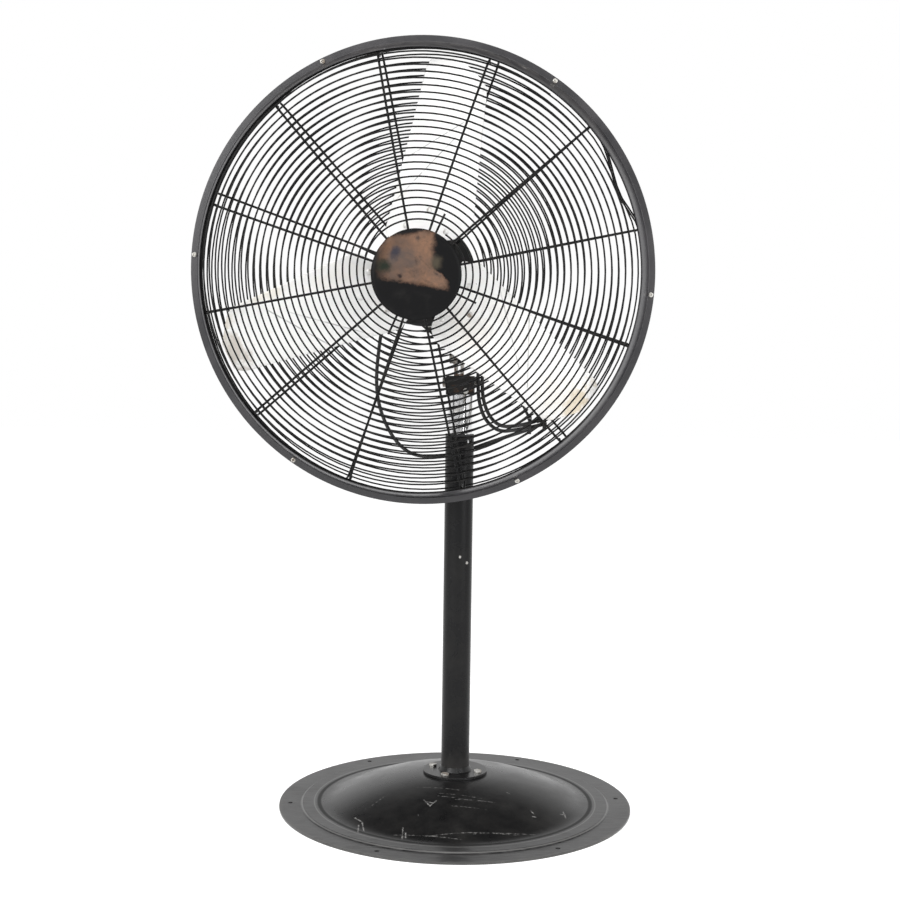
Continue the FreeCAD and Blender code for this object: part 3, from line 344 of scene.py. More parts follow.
class Finish(Wiring):
    # a material grown in layers: each one lays a colour, roughness or metal value over the rest
    def __init__(self, name, colour, roughness, metallic=0.0, **more):
        self.material = bpy.data.materials.new(name)
        self.material.use_nodes = True
        super().__init__(self.material.node_tree)
        self.shader = self.tree.nodes["Principled BSDF"]
        self.values = {"Base Color": (*colour, 1.0), "Roughness": roughness, "Metallic": metallic}
        for label, value in {**self.values, **more}.items():
            self.shader.inputs[label].default_value = value
        self.place = self.node("TexCoord").outputs["Object"]
        self.normal = self.place.node.outputs["Normal"]
        self.lastBump = None

    def group(self, name, output, **sockets):
        made = self.node("Group", node_tree=groups[name])
        for label, value in {"Vector": self.place, **sockets}.items():
            self.feed(made.inputs[label], value)
        return made.outputs[output]

    def layer(self, mask, colour=None, roughness=None, metallic=None):
        if colour is not None:
            self.lay("Base Color", self.blend(mask, self.values["Base Color"], (*colour, 1.0)))
        for label, value in (("Roughness", roughness), ("Metallic", metallic)):
            if value is not None:
                mixed = self.node("Mix", data_type="FLOAT")
                for socket, part in zip(mixed.inputs, (mask, None, self.values[label], value)):
                    if part is not None:
                        self.feed(socket, part)
                self.lay(label, mixed.outputs[0])

    def lay(self, label, socket):
        self.values[label] = socket
        self.feed(self.shader.inputs[label], socket)

    def bump(self, height, distance, strength=1.0):
        made = self.node("Bump", {"Height": height, "Distance": distance, "Strength": strength})
        if self.lastBump:
            self.feed(made.inputs["Normal"], self.lastBump)
        self.lastBump = made.outputs[0]
        self.feed(self.shader.inputs["Normal"], self.lastBump)

    def ragged(self, amount, scale, detail, roughness=0.55):
        # noise about nought, which breaks up an edge
        return self.times(self.minus(self.noise(self.place, scale, detail, roughness), 0.5), amount)

    def nearest(self, distances):
        least = distances[0]
        for distance in distances[1:]:
            least = self.maths("MINIMUM", least, distance)
        return least

    def spots(self, points, size):
        # nearness to any of some points, in metres, with ragged edges
        near = self.nearest([self.vector("DISTANCE", self.place, point) for point in points])
        return self.ramp(self.plus(near, self.ragged(size * 1.4, 300.0, 3.0)), size, size * 0.55)

    def strokes(self, lines, width):
        # nearness to any of some scratches, seen from above: the distance to a segment's closest point
        plan = self.vector("MULTIPLY", self.place, (1, 1, 0))
        distances = []
        for start, end in lines:
            start, along = Vector((*start, 0)), Vector((*end, 0)) - Vector((*start, 0))
            past = self.vector("SUBTRACT", plan, start)
            run = self.vector("DOT_PRODUCT", past, along / along.length_squared)
            foot = self.vector("SCALE", along)
            self.feed(foot.node.inputs["Scale"], self.maths("MINIMUM", self.maths("MAXIMUM", run, 0.0), 1.0))
            distances.append(self.vector("DISTANCE", past, foot))
        rough = self.ragged(width * 5, 420.0, 3.0)
        return self.ramp(self.plus(self.nearest(distances), rough), width, width * 0.4)


# Each slot's look: colour, roughness and shine, then the layers over them. Grain: scale, depth.
# Grime: scale, level, softness, colour, roughness. Dust: amount, colour. Chips: scale, size,
# rarity, colour. Scratches: scale, amount, colour.
looks = {
    "base_paint": dict(colour=(0.006, 0.006, 0.0063), roughness=0.27, shine=0.36, grain=(420, 0.00012),
                       grime=(9, 0.58, 0.14, (0.013, 0.0127, 0.0124), 0.36), dust=(0.05, (0.16, 0.15, 0.14)),
                       chips=(30, 0.13, 0.93, (0.16, 0.14, 0.125)),
                       scratches=(150, 0.08, (0.09, 0.09, 0.09))),
    "column_paint": dict(colour=(0.005, 0.005, 0.0054), roughness=0.26, shine=0.16, grain=(480, 0.0001),
                         grime=(14, 0.6, 0.14, (0.012, 0.0115, 0.011), 0.4),
                         dust=(0.25, (0.12, 0.115, 0.11)),
                         chips=(34, 0.13, 0.95, (0.3, 0.28, 0.26)),
                         scratches=(190, 0.06, (0.08, 0.08, 0.08))),
    "zinc_plate": dict(colour=(0.6, 0.59, 0.56), roughness=0.38, metallic=1.0, grain=(900, 0.00004),
                       grime=(60, 0.56, 0.1, (0.26, 0.22, 0.18), 0.6),
                       scratches=(260, 0.2, (0.75, 0.75, 0.74))),
    "rusty_zinc": dict(colour=(0.5, 0.48, 0.45), roughness=0.42, metallic=0.9, grain=(700, 0.00008),
                       grime=(55, 0.5, 0.08, (0.16, 0.075, 0.035), 0.8),
                       scratches=(220, 0.2, (0.6, 0.6, 0.6))),
    "black_plastic": dict(colour=(0.022, 0.022, 0.023), roughness=0.48, grain=(900, 0.00008),
                          grime=(30, 0.58, 0.12, (0.05, 0.047, 0.042), 0.62),
                          dust=(0.45, (0.2, 0.19, 0.17))),
    "nylon": dict(colour=(0.018, 0.018, 0.019), roughness=0.36, grain=(700, 0.00003),
                  grime=(60, 0.6, 0.1, (0.04, 0.038, 0.035), 0.5)),
    "mast_chrome": dict(colour=(0.78, 0.78, 0.79), roughness=0.12, metallic=1.0, grain=(700, 0.00001),
                        grime=(30, 0.6, 0.12, (0.5, 0.48, 0.44), 0.3),
                        scratches=(240, 0.4, (0.6, 0.6, 0.6))),
    "clamp_paint": dict(colour=(0.012, 0.0115, 0.011), roughness=0.5, shine=0.3, grain=(380, 0.0002),
                        grime=(42, 0.6, 0.07, (0.085, 0.046, 0.026), 0.8), dust=(0.3, (0.14, 0.12, 0.1)),
                        chips=(90, 0.26, 0.8, (0.15, 0.09, 0.055))),
    "motor_paint": dict(colour=(0.011, 0.011, 0.0115), roughness=0.4, shine=0.32, grain=(380, 0.00015),
                        grime=(18, 0.56, 0.15, (0.03, 0.028, 0.025), 0.6), dust=(0.4, (0.16, 0.145, 0.13)),
                        chips=(60, 0.16, 0.94, (0.16, 0.145, 0.13))),
    "motor_iron": dict(colour=(0.28, 0.28, 0.29), roughness=0.5, metallic=1.0, grain=(900, 0.00008),
                       grime=(50, 0.55, 0.1, (0.12, 0.07, 0.045), 0.75)),
    "copper": dict(colour=(0.55, 0.26, 0.13), roughness=0.34, metallic=1.0, grain=(1500, 0.0003),
                   grime=(70, 0.58, 0.1, (0.2, 0.1, 0.05), 0.5)),
    "bearing_steel": dict(colour=(0.6, 0.6, 0.61), roughness=0.2, metallic=1.0, grain=(900, 0.00002),
                          grime=(80, 0.6, 0.1, (0.35, 0.33, 0.3), 0.4),
                          scratches=(300, 0.3, (0.7, 0.7, 0.7))),
    "capacitor_case": dict(colour=(0.68, 0.68, 0.64), roughness=0.35, grain=(500, 0.00004),
                           grime=(40, 0.6, 0.1, (0.45, 0.42, 0.36), 0.5)),
    "spider_steel": dict(colour=(0.42, 0.42, 0.41), roughness=0.45, metallic=0.75, grain=(420, 0.0001),
                         grime=(40, 0.52, 0.12, (0.2, 0.17, 0.14), 0.7), dust=(0.4, (0.4, 0.37, 0.32))),
    "band_enamel": dict(colour=(0.02, 0.0195, 0.022), roughness=0.3, shine=0.42, grain=(420, 0.00012),
                        grime=(9, 0.52, 0.15, (0.04, 0.038, 0.041), 0.42), dust=(0.35, (0.18, 0.17, 0.16)),
                        chips=(30, 0.2, 0.9, (0.2, 0.19, 0.18)),
                        scratches=(170, 0.12, (0.16, 0.16, 0.16))),
    "wire_enamel": dict(colour=(0.005, 0.005, 0.0053), roughness=0.42, shine=0.14, grain=(900, 0.00005),
                        grime=(24, 0.58, 0.12, (0.016, 0.015, 0.014), 0.55),
                        dust=(0.12, (0.07, 0.065, 0.06))),
    "cord_rubber": dict(colour=(0.013, 0.013, 0.0135), roughness=0.5, grain=(1300, 0.00006),
                        grime=(40, 0.58, 0.12, (0.035, 0.033, 0.031), 0.62), dust=(0.3, (0.12, 0.11, 0.1))),
    "plug_rubber": dict(colour=(0.018, 0.018, 0.018), roughness=0.46, grain=(1000, 0.00008),
                        grime=(50, 0.58, 0.12, (0.045, 0.043, 0.04), 0.6), dust=(0.35, (0.15, 0.14, 0.13))),
    "plug_brass": dict(colour=(0.7, 0.52, 0.25), roughness=0.3, metallic=1.0, grain=(900, 0.00003),
                       grime=(90, 0.6, 0.1, (0.35, 0.24, 0.12), 0.5),
                       scratches=(300, 0.3, (0.8, 0.65, 0.4))),
}


def finishFor(name, look):
    shine = {"Specular IOR Level": look.get("shine", 0.5)}
    finish = Finish(name, look["colour"], look["roughness"], look.get("metallic", 0.0), **shine)
    scale, level, soft, colour, roughness = look["grime"]
    metal = 0.25 if look.get("metallic") else None
    finish.layer(finish.group("grimeCloud", "Mask", Scale=float(scale), Level=level, Soft=soft),
                 colour, roughness, metal)
    if "scratches" in look:
        scale, amount, colour = look["scratches"]
        finish.layer(finish.group("hairScratches", "Mask", Scale=float(scale), Amount=amount), colour)
    if "chips" in look:
        scale, size, rare, colour = look["chips"]
        chips = finish.group("paintChips", "Mask", Scale=float(scale), Size=size, Rare=rare)
        finish.layer(chips, colour, 0.6)
        finish.bump(finish.minus(1.0, chips), 0.0002, 0.8)
    if "dust" in look:
        amount, colour = look["dust"]
        finish.layer(finish.group("settledDust", "Mask", Normal=finish.normal, Amount=amount), colour, 0.85)
    scale, distance = look["grain"]
    finish.bump(finish.group("sprayedGrain", "Height", Scale=float(scale)), distance, 0.6)
    return finish


finishes = {slot: finishFor(slot, look) for slot, look in looks.items()}
paint = {slot: finish.material for slot, finish in finishes.items()}
print("finishes made:", len(finishes))

# The route of each lead, as given points in metres
mains = dict(
    diameter=0.0062, exit=(0.0295, 0.0032, 0.8442),
    points=[
        (0.0295, 0.0032, 0.8442), (0.0296, 0.0064, 0.798), (0.0295, 0.0082, 0.76), (0.0296, 0.0086, 0.724),
        (0.031, 0.0075, 0.692), (0.042, 0.0, 0.66), (0.066, -0.028, 0.6415), (0.093, -0.067, 0.6465),
        (0.1167, -0.1027, 0.6526), (0.1416, -0.1052, 0.6589), (0.1416, -0.0872, 0.6602),
        (0.1147, -0.0844, 0.6483), (0.088, -0.052, 0.6375), (0.056, -0.008, 0.6245), (0.028, 0.024, 0.6125),
        (0.0, 0.0375, 0.6015), (-0.028, 0.0385, 0.595), (-0.0605, 0.036, 0.5935), (-0.087, 0.034, 0.599),
        (-0.11, 0.033, 0.618), (-0.127, 0.032, 0.645), (-0.139, 0.031, 0.675), (-0.145, 0.030, 0.706),
        (-0.1455, 0.030, 0.74), (-0.1425, 0.0305, 0.773), (-0.1385, 0.0315, 0.807), (-0.129, 0.0355, 0.838),
        (-0.1135, 0.0395, 0.862), (-0.1032, 0.041, 0.884),
    ],
)
spare = dict(
    diameter=0.0062, length=0.318,
    points=[
        (0.0365, 0.0032, 0.8442), (0.0366, 0.0064, 0.798), (0.0364, 0.008, 0.76), (0.0366, 0.0076, 0.724),
        (0.0385, 0.003, 0.693), (0.051, -0.010, 0.664), (0.07, -0.042, 0.6505), (0.094, -0.077, 0.6535),
        (0.1162, -0.1052, 0.6594), (0.1337, -0.1057, 0.6659),
    ],
)
# The put-away length: nine turns stacked three by three, each turn one place on from the last
coil = dict(
    radius=36.0, back=-219.0, gap=6.25, turnPoints=16, shiftLength=0.45, firstShift=5.58, end=52.2,
    places=((1, 1), (0, 1), (-1, 1), (-1, 0), (-1, -1), (0, -1), (0, 0), (1, 0), (1, -1)),
    tail=[(26.5, 33.9, -228.8), (37.3, 25.1, -233.2), (46.0, 12.2, -237.6), (49.6, -2.5, -240.6),
          (48.6, -17.5, -241.8), (42.5, -30.0, -242.0), (34.0, -36.6, -242.0), (24.0, -38.0, -242.0)],
)


def coilPoints():
    # clockwise turns from the left side: (-r cos t, r sin t, z), where r and z ease from each
    # place in the stack to the next over a short part of a turn, a little earlier every time
    step = 2 * math.pi / coil["turnPoints"]
    t = np.arange(0, coil["end"], step)
    shift = coil["firstShift"] + np.arange(len(coil["places"]) - 1) * (2 * math.pi - coil["shiftLength"])
    done = np.clip((t[:, None] - shift[None, :]) / coil["shiftLength"] + 1, 0, 1)
    done = done * done * (3 - 2 * done)
    places = np.array(coil["places"], float)
    spot = places[0] + done @ np.diff(places, axis=0)
    radius = (coil["radius"] + coil["gap"] * spot[:, 0]) / math.cos(step / 2)
    height = coil["back"] + coil["gap"] * spot[:, 1]
    turns = np.stack([-radius * np.cos(t), radius * np.sin(t), height], axis=1)
    return onHead(np.concatenate([turns, np.array(coil["tail"])])).tolist()


def makeCord(name, points, diameter, material):
    curve = bpy.data.curves.new(name, "CURVE")
    curve.dimensions = "3D"
    curve.bevel_depth = diameter / 2
    curve.bevel_resolution = 4
    curve.resolution_u = 8
    curve.use_fill_caps = True
    line = curve.splines.new("NURBS")
    line.points.add(len(points) - 1)
    for spot, point in zip(line.points, points):
        spot.co = (*point, 1)
    line.order_u = 3
    line.use_endpoint_u = True
    curve.materials.append(material)
    cord = bpy.data.objects.new(name, curve)
    scene.collection.objects.link(cord)
    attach(cord, "head")
    return cord


def lengthOf(cord):
    # the spline's own length, read from a copy with no thickness
    bare = cord.copy()
    bare.data = cord.data.copy()
    bare.data.bevel_depth = 0
    line = bpy.data.meshes.new_from_object(bare)
    spots = np.array([vertex.co for vertex in line.vertices])
    bpy.data.curves.remove(bare.data)
    bpy.data.meshes.remove(line)
    return float(np.linalg.norm(np.diff(spots, axis=0), axis=1).sum())


mainsCord = makeCord("mainsLead", mains["points"] + coilPoints(), mains["diameter"], paint["cord_rubber"])
spareCord = makeCord("spareLead", spare["points"], spare["diameter"], paint["cord_rubber"])
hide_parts("power_cord", "cord_coil")
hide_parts("spare_lead")
print("mains lead %.3f m, spare lead %.3f m" % (lengthOf(mainsCord), lengthOf(spareCord)))

plug = refined("power_plug", paint["plug_rubber"], bevel=3.0, segments=4)
prongs = refined("plug_prongs", paint["plug_brass"], bevel=0.4)
cap = refined("lead_cap", paint["plug_rubber"], bevel=0.6)
refined("lead_grommet", paint["cord_rubber"], bevel=0.6)
print("cords laid")

# The straps that hold the leads, in fan frame millimetres
ties = dict(
    thick=1.3,
    # across, low, high, back and front of each strap, then its width and its corners' radius
    straps=((197.5, -247.3, -232.4, -75.5, -38.5, 4.8, 4.5), (174.0, -254.5, -229.5, -79.5, -46.2, 4.8, 4.5),
            (0.0, -46.8, -25.2, -231.2, -206.8, 5.0, 6)),
    locks=((197.5, -236.5, -76.2), (174.0, -231.5, -79.0), (0.0, -27.5, -206.6)), lockSize=(3.6, 3.4, 2.6),
    # the long loose end of the second tie, and how far it curls forward
    tailFrom=(174, -231.5, -76.2), tailLong=27, tailLean=28, tailCurl=2.2, tailWide=2.3, tailThick=0.6,
)


def strapLoop(across, low, high, back, front, wide, corner):
    # a flat band round a softened rectangle in y and z: path + normal half the thickness, each way,
    # at both edges of the band
    half, t = wide / 2, ties["thick"] / 2
    box = [(low + t, back + t), (high - t, back + t), (high - t, front - t), (low + t, front - t)]
    path = softened(box, corner, 6)
    along = np.roll(path, -1, 0) - np.roll(path, 1, 0)
    along /= np.linalg.norm(along, axis=1, keepdims=True)
    normal = np.stack([along[:, 1], -along[:, 0]], axis=1) * t
    rows = []
    for x, side in ((-half, 1), (half, 1), (half, -1), (-half, -1)):
        spot = path + side * normal
        rows.append(np.column_stack([np.full(len(path), across + x), spot]))
    return np.stack(rows, axis=1)


def easedBlock(centre, half, power=0.22, steps=24):
    # superellipsoid: half * (c(v) c(u), c(v) s(u), s(v)), sines and cosines raised to a small power
    u = np.linspace(0, 2 * math.pi, steps, endpoint=False)[None, :]
    v = np.linspace(-math.pi / 2, math.pi / 2, steps // 2 + 1)[:, None]

    def bent(value):
        return np.sign(value) * np.abs(value) ** power

    x, y, z = bent(np.cos(v)) * bent(np.cos(u)), bent(np.cos(v)) * bent(np.sin(u)), bent(np.sin(v)) + 0 * u
    return np.asarray(centre) + np.stack([x, y, z], axis=2) * np.asarray(half)


def makeTies():
    shell = Shell()
    for strap in ties["straps"]:
        shell.grid(onHead(strapLoop(*strap)), wrapRows=True, wrapColumns=True)
    for centre in ties["locks"]:
        shell.grid(onHead(easedBlock(centre, ties["lockSize"])), wrapColumns=True)
    # the loose end: start + t along, rising as t squared, its width falling as t to the sixth
    t = np.linspace(0, 1, 14)[:, None]
    lean = math.radians(ties["tailLean"])
    along = np.array([-math.sin(lean), math.cos(lean), 0])
    beside = np.array([math.cos(lean), math.sin(lean), 0])
    curl = np.array([0, 0, ties["tailCurl"]])
    path = np.array(ties["tailFrom"]) + ties["tailLong"] * t * along + curl * t * t
    wide = ties["tailWide"] * (1 - 0.35 * t ** 6)
    up = np.array([0, 0, ties["tailThick"]])
    left, right = path - wide * beside, path + wide * beside
    section = np.stack([left - up, right - up, right + up, left + up], axis=1)
    shell.grid(onHead(section), wrapColumns=True, caps=True)
    shell.piece("cableTies", paint["nylon"], "head", ("cable_ties",), "nylon")


makeTies()

guards = dict(
    wire=1.3, spoke=1.8, samples=52, sides=8, rise=949.75,
    # where the spokes begin and end on the section, and the rim they end on: radius, thickness, height
    frontSpokeEnds=(50.0, 20.0), frontRim=(338.65, 1.6, 42.0),
    rearSpokeEnds=(68.0, -3.2), rearRim=(350.85, 2.8, -4.6),
    frontStart=71.0, frontStep=5.175, frontHalfTurns=50, frontPhase=36.0,
    rearStart=94.0, rearStep=5.3, rearHalfTurns=52, rearPhase=183.0,
    # spokes: degrees clockwise from the top, and how far the outer end leans on from the inner one
    frontSpokes=((17.7, 2.4), (48.9, 0.4), (77.9, 1.6), (107.5, 4.4), (138.8, 4), (168.3, 0), (198.2, 4),
                 (229.7, 0.4), (259.2, 1.2), (287.8, 3.2), (318.9, -1.2), (348.9, -0.8)),
    rearSpokes=((19.5, 0), (48, 3), (77.6, 3.5), (108.5, 1), (137.7, 0), (168, 2), (200.2, -4.5),
                (229.4, -2.5), (259.6, 0), (291.2, -6), (319.9, -6), (349.2, -2.5)),
    # hand-wound turns stray from true circles: (lobes, cosine, sine, cosine and sine growing outwards)
    frontStray=((0, 0.35, 0, 0.56, 0), (1, 2.0, -0.3, 0.3, -0.9), (2, -1.7, -1.0, -0.4, -0.6),
                (3, -0.3, 0.2, 0, 0)),
    rearStray=((1, 2.6, 1.2, -2.2, -2.0), (2, -1.0, -0.1, -3.0, -0.2), (3, 0.3, 0.9, 0, 0)),
    # (sphere radius, bulge, sphere centre, wall radius, edge bend)
    front=(946.45, 1, -826.0, 335.0, 20.0), rear=(2500.0, -1, 2442.1, 345.9, 14.0), layer=3.35,
    # a dent pushed into the rear wires at the upper right
    dentFrom=50.0, dentDeepest=67.0, dentTo=79.0, dentDepth=17.0, dentInside=337.0,
)


def meridian(length, start, shape, offset=0.0):
    # distance along a guard's section to (radius, height): a shallow sphere, a rounded edge, a wall
    reach, bulge, centre, line, bend = shape
    corner = line - bend
    edge = math.asin(corner / (reach - bend))
    level = centre + bulge * (reach - bend) * math.cos(edge)
    reach, line, bend = reach + offset, line + offset, bend + offset
    first = math.asin(start / reach)
    sphere, rounded = reach * (edge - first), bend * (math.pi / 2 - edge)
    length = np.asarray(length, float)
    onSphere = first + np.minimum(length, sphere) / reach
    onEdge = edge + np.clip(length - sphere, 0, rounded) / bend
    past = np.maximum(length - sphere - rounded, 0)
    radius = np.where(length < sphere, reach * np.sin(onSphere), corner + bend * np.sin(onEdge))
    height = np.where(length < sphere, centre + bulge * reach * np.cos(onSphere),
                      level + bulge * bend * np.cos(onEdge) - bulge * past)
    return radius, height, sphere, rounded, level


def coiledWire(radius, height, side, phase, stray, shape):
    # half circles from rung to rung on alternate sides: middle + cos t (begin - middle) + sin t across
    up = 1.0 - 2.0 * (np.arange(len(radius) - 1) % 2)
    begin = np.stack([0 * up, up * radius[:-1], height[:-1]], axis=1)
    end = np.stack([0 * up, -up * radius[1:], height[1:]], axis=1)
    middle = (begin + end) / 2
    across = np.stack([side * up * np.linalg.norm(begin - end, axis=1) / 2, 0 * up, 0 * up], axis=1)
    t = np.linspace(0, math.pi, guards["samples"], endpoint=False)[None, :, None]
    points = middle[:, None] + np.cos(t) * (begin - middle)[:, None] + np.sin(t) * across[:, None]
    points = spunAbout(np.concatenate([points.reshape(-1, 3), end[-1:]]), phase)
    # no two turns are bent quite alike
    s = np.linspace(0, math.pi * len(up), len(points))
    wave = 0.22 * np.sin(2.31 * s + 0.4) + 0.16 * np.sin(5.17 * s + 1.2)
    return strayed(points, stray, shape, wave)


def strayed(points, stray, shape, wave):
    # radius + the sum of (a cos kt + b sin kt), a part of it growing outwards, along the sphere's
    # slope and fading out at the wall
    reach, bulge, line = shape[0], shape[1], shape[3]
    out = np.linalg.norm(points[:, :2], axis=1)
    t = np.arctan2(points[:, 0], points[:, 1])
    grown = (out - 210) / 130
    shift = wave.copy()
    for lobes, even, odd, evenGrown, oddGrown in stray:
        shift += (even + evenGrown * grown) * np.cos(lobes * t)
        shift += (odd + oddGrown * grown) * np.sin(lobes * t)
    shift *= np.clip((line + 2 - out) / 16, 0, 1)
    moved = points.copy()
    moved[:, :2] *= (1 + shift / out)[:, None]
    moved[:, 2] -= bulge * shift * out / reach
    return moved


def windGuard(name, wire, nodes):
    shell = Shell()
    tube = sweptTube(wire, guards["wire"], guards["sides"], (0, 0, 1))
    shell.grid(onHead(tube), wrapColumns=True, caps=True)
    shell.piece(name, paint["wire_enamel"], "head", nodes, "wire_enamel", sharp=60)


def makeFrontGuard():
    # rungs at even radii r, raised to sqrt(rise^2 - r^2) above the sphere's centre
    rungs = guards["frontStart"] + guards["frontStep"] * np.arange(guards["frontHalfTurns"] + 1)
    rise = guards["front"][2] + np.sqrt(guards["rise"] ** 2 - rungs ** 2)
    wire = coiledWire(rungs, rise, 1, guards["frontPhase"], guards["frontStray"], guards["front"])
    windGuard("frontGuardWire", wire, ("front_guard_spiral", "front_guard_outer_turns"))
    makeSpokes("frontGuardSpokes", guards["front"], guards["frontSpokeEnds"], guards["frontSpokes"],
               guards["frontRim"], ("front_guard_spokes",))


def makeRearGuard():
    # rungs at even steps along the section; the dent draws the outer turns in, easing at both ends
    steps = guards["rearStep"] * np.arange(guards["rearHalfTurns"] + 1)
    radius, height = meridian(steps, guards["rearStart"], guards["rear"], guards["layer"])[:2]
    wire = coiledWire(radius, height, -1, guards["rearPhase"], guards["rearStray"], guards["rear"])
    around = np.degrees(np.arctan2(wire[:, 0], wire[:, 1])) % 360
    out = np.linalg.norm(wire[:, :2], axis=1)
    rising = (around - guards["dentFrom"]) / (guards["dentDeepest"] - guards["dentFrom"])
    falling = (guards["dentTo"] - around) / (guards["dentTo"] - guards["dentDeepest"])
    share = np.clip(np.minimum(rising, falling), 0, 1)
    share = share * share * (3 - 2 * share) * np.clip((out - guards["dentInside"]) / 9, 0, 1)
    wire[:, :2] *= (1 - guards["dentDepth"] * share / out)[:, None]
    windGuard("rearGuardWire", wire, ("rear_guard_spiral", "rear_guard_outer_turns"))
    makeSpokes("rearGuardSpokes", guards["rear"], guards["rearSpokeEnds"], guards["rearSpokes"],
               guards["rearRim"], ("rear_guard_spokes",))


def makeSpokes(name, shape, ends, spokes, rim, nodes):
    # every spoke follows the guard's section, leaning a little across it
    start, low = ends
    sphere, rounded, level = meridian(0.0, start, shape)[2:]
    full = sphere + rounded + abs(level - low)
    length = np.concatenate([np.linspace(0, sphere, 26), sphere + rounded * np.linspace(0.12, 1, 9),
                             np.linspace(sphere + rounded + 2, full, 4)])
    radius, height = meridian(length, start, shape)[:2]
    share = (radius - radius.mean()) / (radius[-1] - radius[0])
    shell = Shell()
    for angle, lean in spokes:
        aside = lean * share
        turned = spunAbout(np.stack([aside, np.sqrt(radius ** 2 - aside ** 2), height], axis=1), angle)
        across = spunAbout(np.array([1.0, 0.0, 0.0]), angle)
        shell.grid(onHead(sweptTube(turned, guards["spoke"], 12, across)), wrapColumns=True, caps=True)
    mean, thick, level = rim
    around = np.linspace(0, 2 * math.pi, 180, endpoint=False)
    hoop = np.stack([mean * np.sin(around), mean * np.cos(around), level + 0 * around], axis=1)
    shell.grid(onHead(sweptTube(hoop, thick, 12, (0, 0, 1), wrap=True)), wrapRows=True, wrapColumns=True)
    shell.piece(name, paint["wire_enamel"], "head", nodes, "wire_enamel", sharp=60)


makeFrontGuard()
makeRearGuard()
print("guards wound")

# The clamping band round the two guards, with its screws
band = dict(
    profile=[(363.5, 0.0), (353.9, 0.0), (352.2, 2.0), (338.5, 56.0), (336.9, 56.0), (350.2, 1.4),
             (351.9, -1.6), (363.5, -1.6)],
    edge=0.75, steps=220, screws=6, screwCircle=358.3, screwPhase=34.4,
    # each screw: radius and height of its head; the nut's flats, ends and bore; the shank's outline
    head=(4.0, 2.5), nut=(3.9, -4.7, -1.65, 2.0),
    shank=[(0, 0.1), (2.0, 0.1), (2.0, -7.4), (1.4, -8.0), (0, -8.0)],
)


def makeBand():
    # the softened section turned about the blade axis
    shell = Shell()
    shell.grid(onHead(lathed(softened(band["profile"], band["edge"]), band["steps"])), True, True)
    shell.piece("guardBand", paint["band_enamel"], "head", ("guard_band",), "band_enamel", sharp=45)


def screwHead(radius, height, steps=40):
    # a dome whose height is 1 - (r / R)^4, pressed in by a cross that fades towards the rim
    r = np.concatenate([[0.0], np.linspace(0.06, 1, 18) ** 0.8])[:, None] * radius
    angle = np.linspace(0, 2 * math.pi, steps, endpoint=False)[None, :]
    x, y = r * np.cos(angle), r * np.sin(angle)
    arm = np.minimum(np.abs(x), np.abs(y)) / (0.16 * radius)
    cross = np.clip(1.6 - arm, 0, 1) * np.clip((0.62 * radius - r) / (0.2 * radius), 0, 1)
    z = height * (1 - 0.55 * (r / radius) ** 4) - 0.75 * height * cross
    skirt = np.stack([radius * np.cos(angle), radius * np.sin(angle), 0 * angle], axis=2)
    return np.concatenate([np.stack([x, y, z + 0 * x], axis=2), skirt])


def hexNut(radius, low, high, bore, steps=48):
    # six flats at the given apothem, their corners cut by a cone at both ends, round a bore
    angle = np.linspace(0, 2 * math.pi, steps, endpoint=False)
    flat = radius / np.cos((angle % (math.pi / 3)) - math.pi / 6)
    rows = []
    for reach, z in ((bore, low), (radius, low), (math.inf, low + 0.5), (math.inf, high - 0.5),
                     (radius, high), (bore, high)):
        r = np.minimum(flat, reach)
        rows.append(np.stack([r * np.cos(angle), r * np.sin(angle), np.full(steps, z)], axis=1))
    return np.array(rows)


def makeBandScrews():
    shell = Shell()
    turns = np.random.default_rng(7).uniform(0, 90, band["screws"])
    for number, turn in enumerate(turns):
        spot = spunAbout(np.array([0.0, band["screwCircle"], 0.0]), band["screwPhase"] + 60 * number)
        shell.grid(onHead(spunAbout(screwHead(*band["head"]), turn) + spot), wrapColumns=True)
        shell.grid(onHead(spunAbout(hexNut(*band["nut"]), turn) + spot), True, True)
        shell.grid(onHead(lathed(band["shank"], 20) + spot), wrapColumns=True)
    shell.piece("bandScrews", paint["zinc_plate"], "head", ("band_screws",), "zinc_plate", sharp=28)


makeBand()
makeBandScrews()

disc = dict(
    radius=67.3, back=121.3, thick=3.7, bevel=7.0, steps=128,
    # the worn patch, in shares of the radius: each edge is bare at the first value, worn at the second
    wornLow=(-0.26, -0.1), wornRight=(0.08, -0.06), wornTop=(0.96, 0.78), wornLeft=(-0.92, -0.6),
    film=(0.125, 0.074, 0.05), warmFilm=(0.205, 0.112, 0.068),
    # duller clouds in it: scale, level, colour
    dull=((24.0, 0.53, (0.075, 0.056, 0.048)), (75.0, 0.62, (0.045, 0.033, 0.028))),
    # stains: across, up, size, colour
    stains=((-0.46, 0.46, 0.18, (0.03, 0.028, 0.036)), (-0.7, 0.18, 0.22, (0.012, 0.016, 0.011)),
            (0.46, 0.26, 0.22, (0.05, 0.042, 0.03)), (-0.35, -0.05, 0.07, (0.02, 0.014, 0.013))),
)


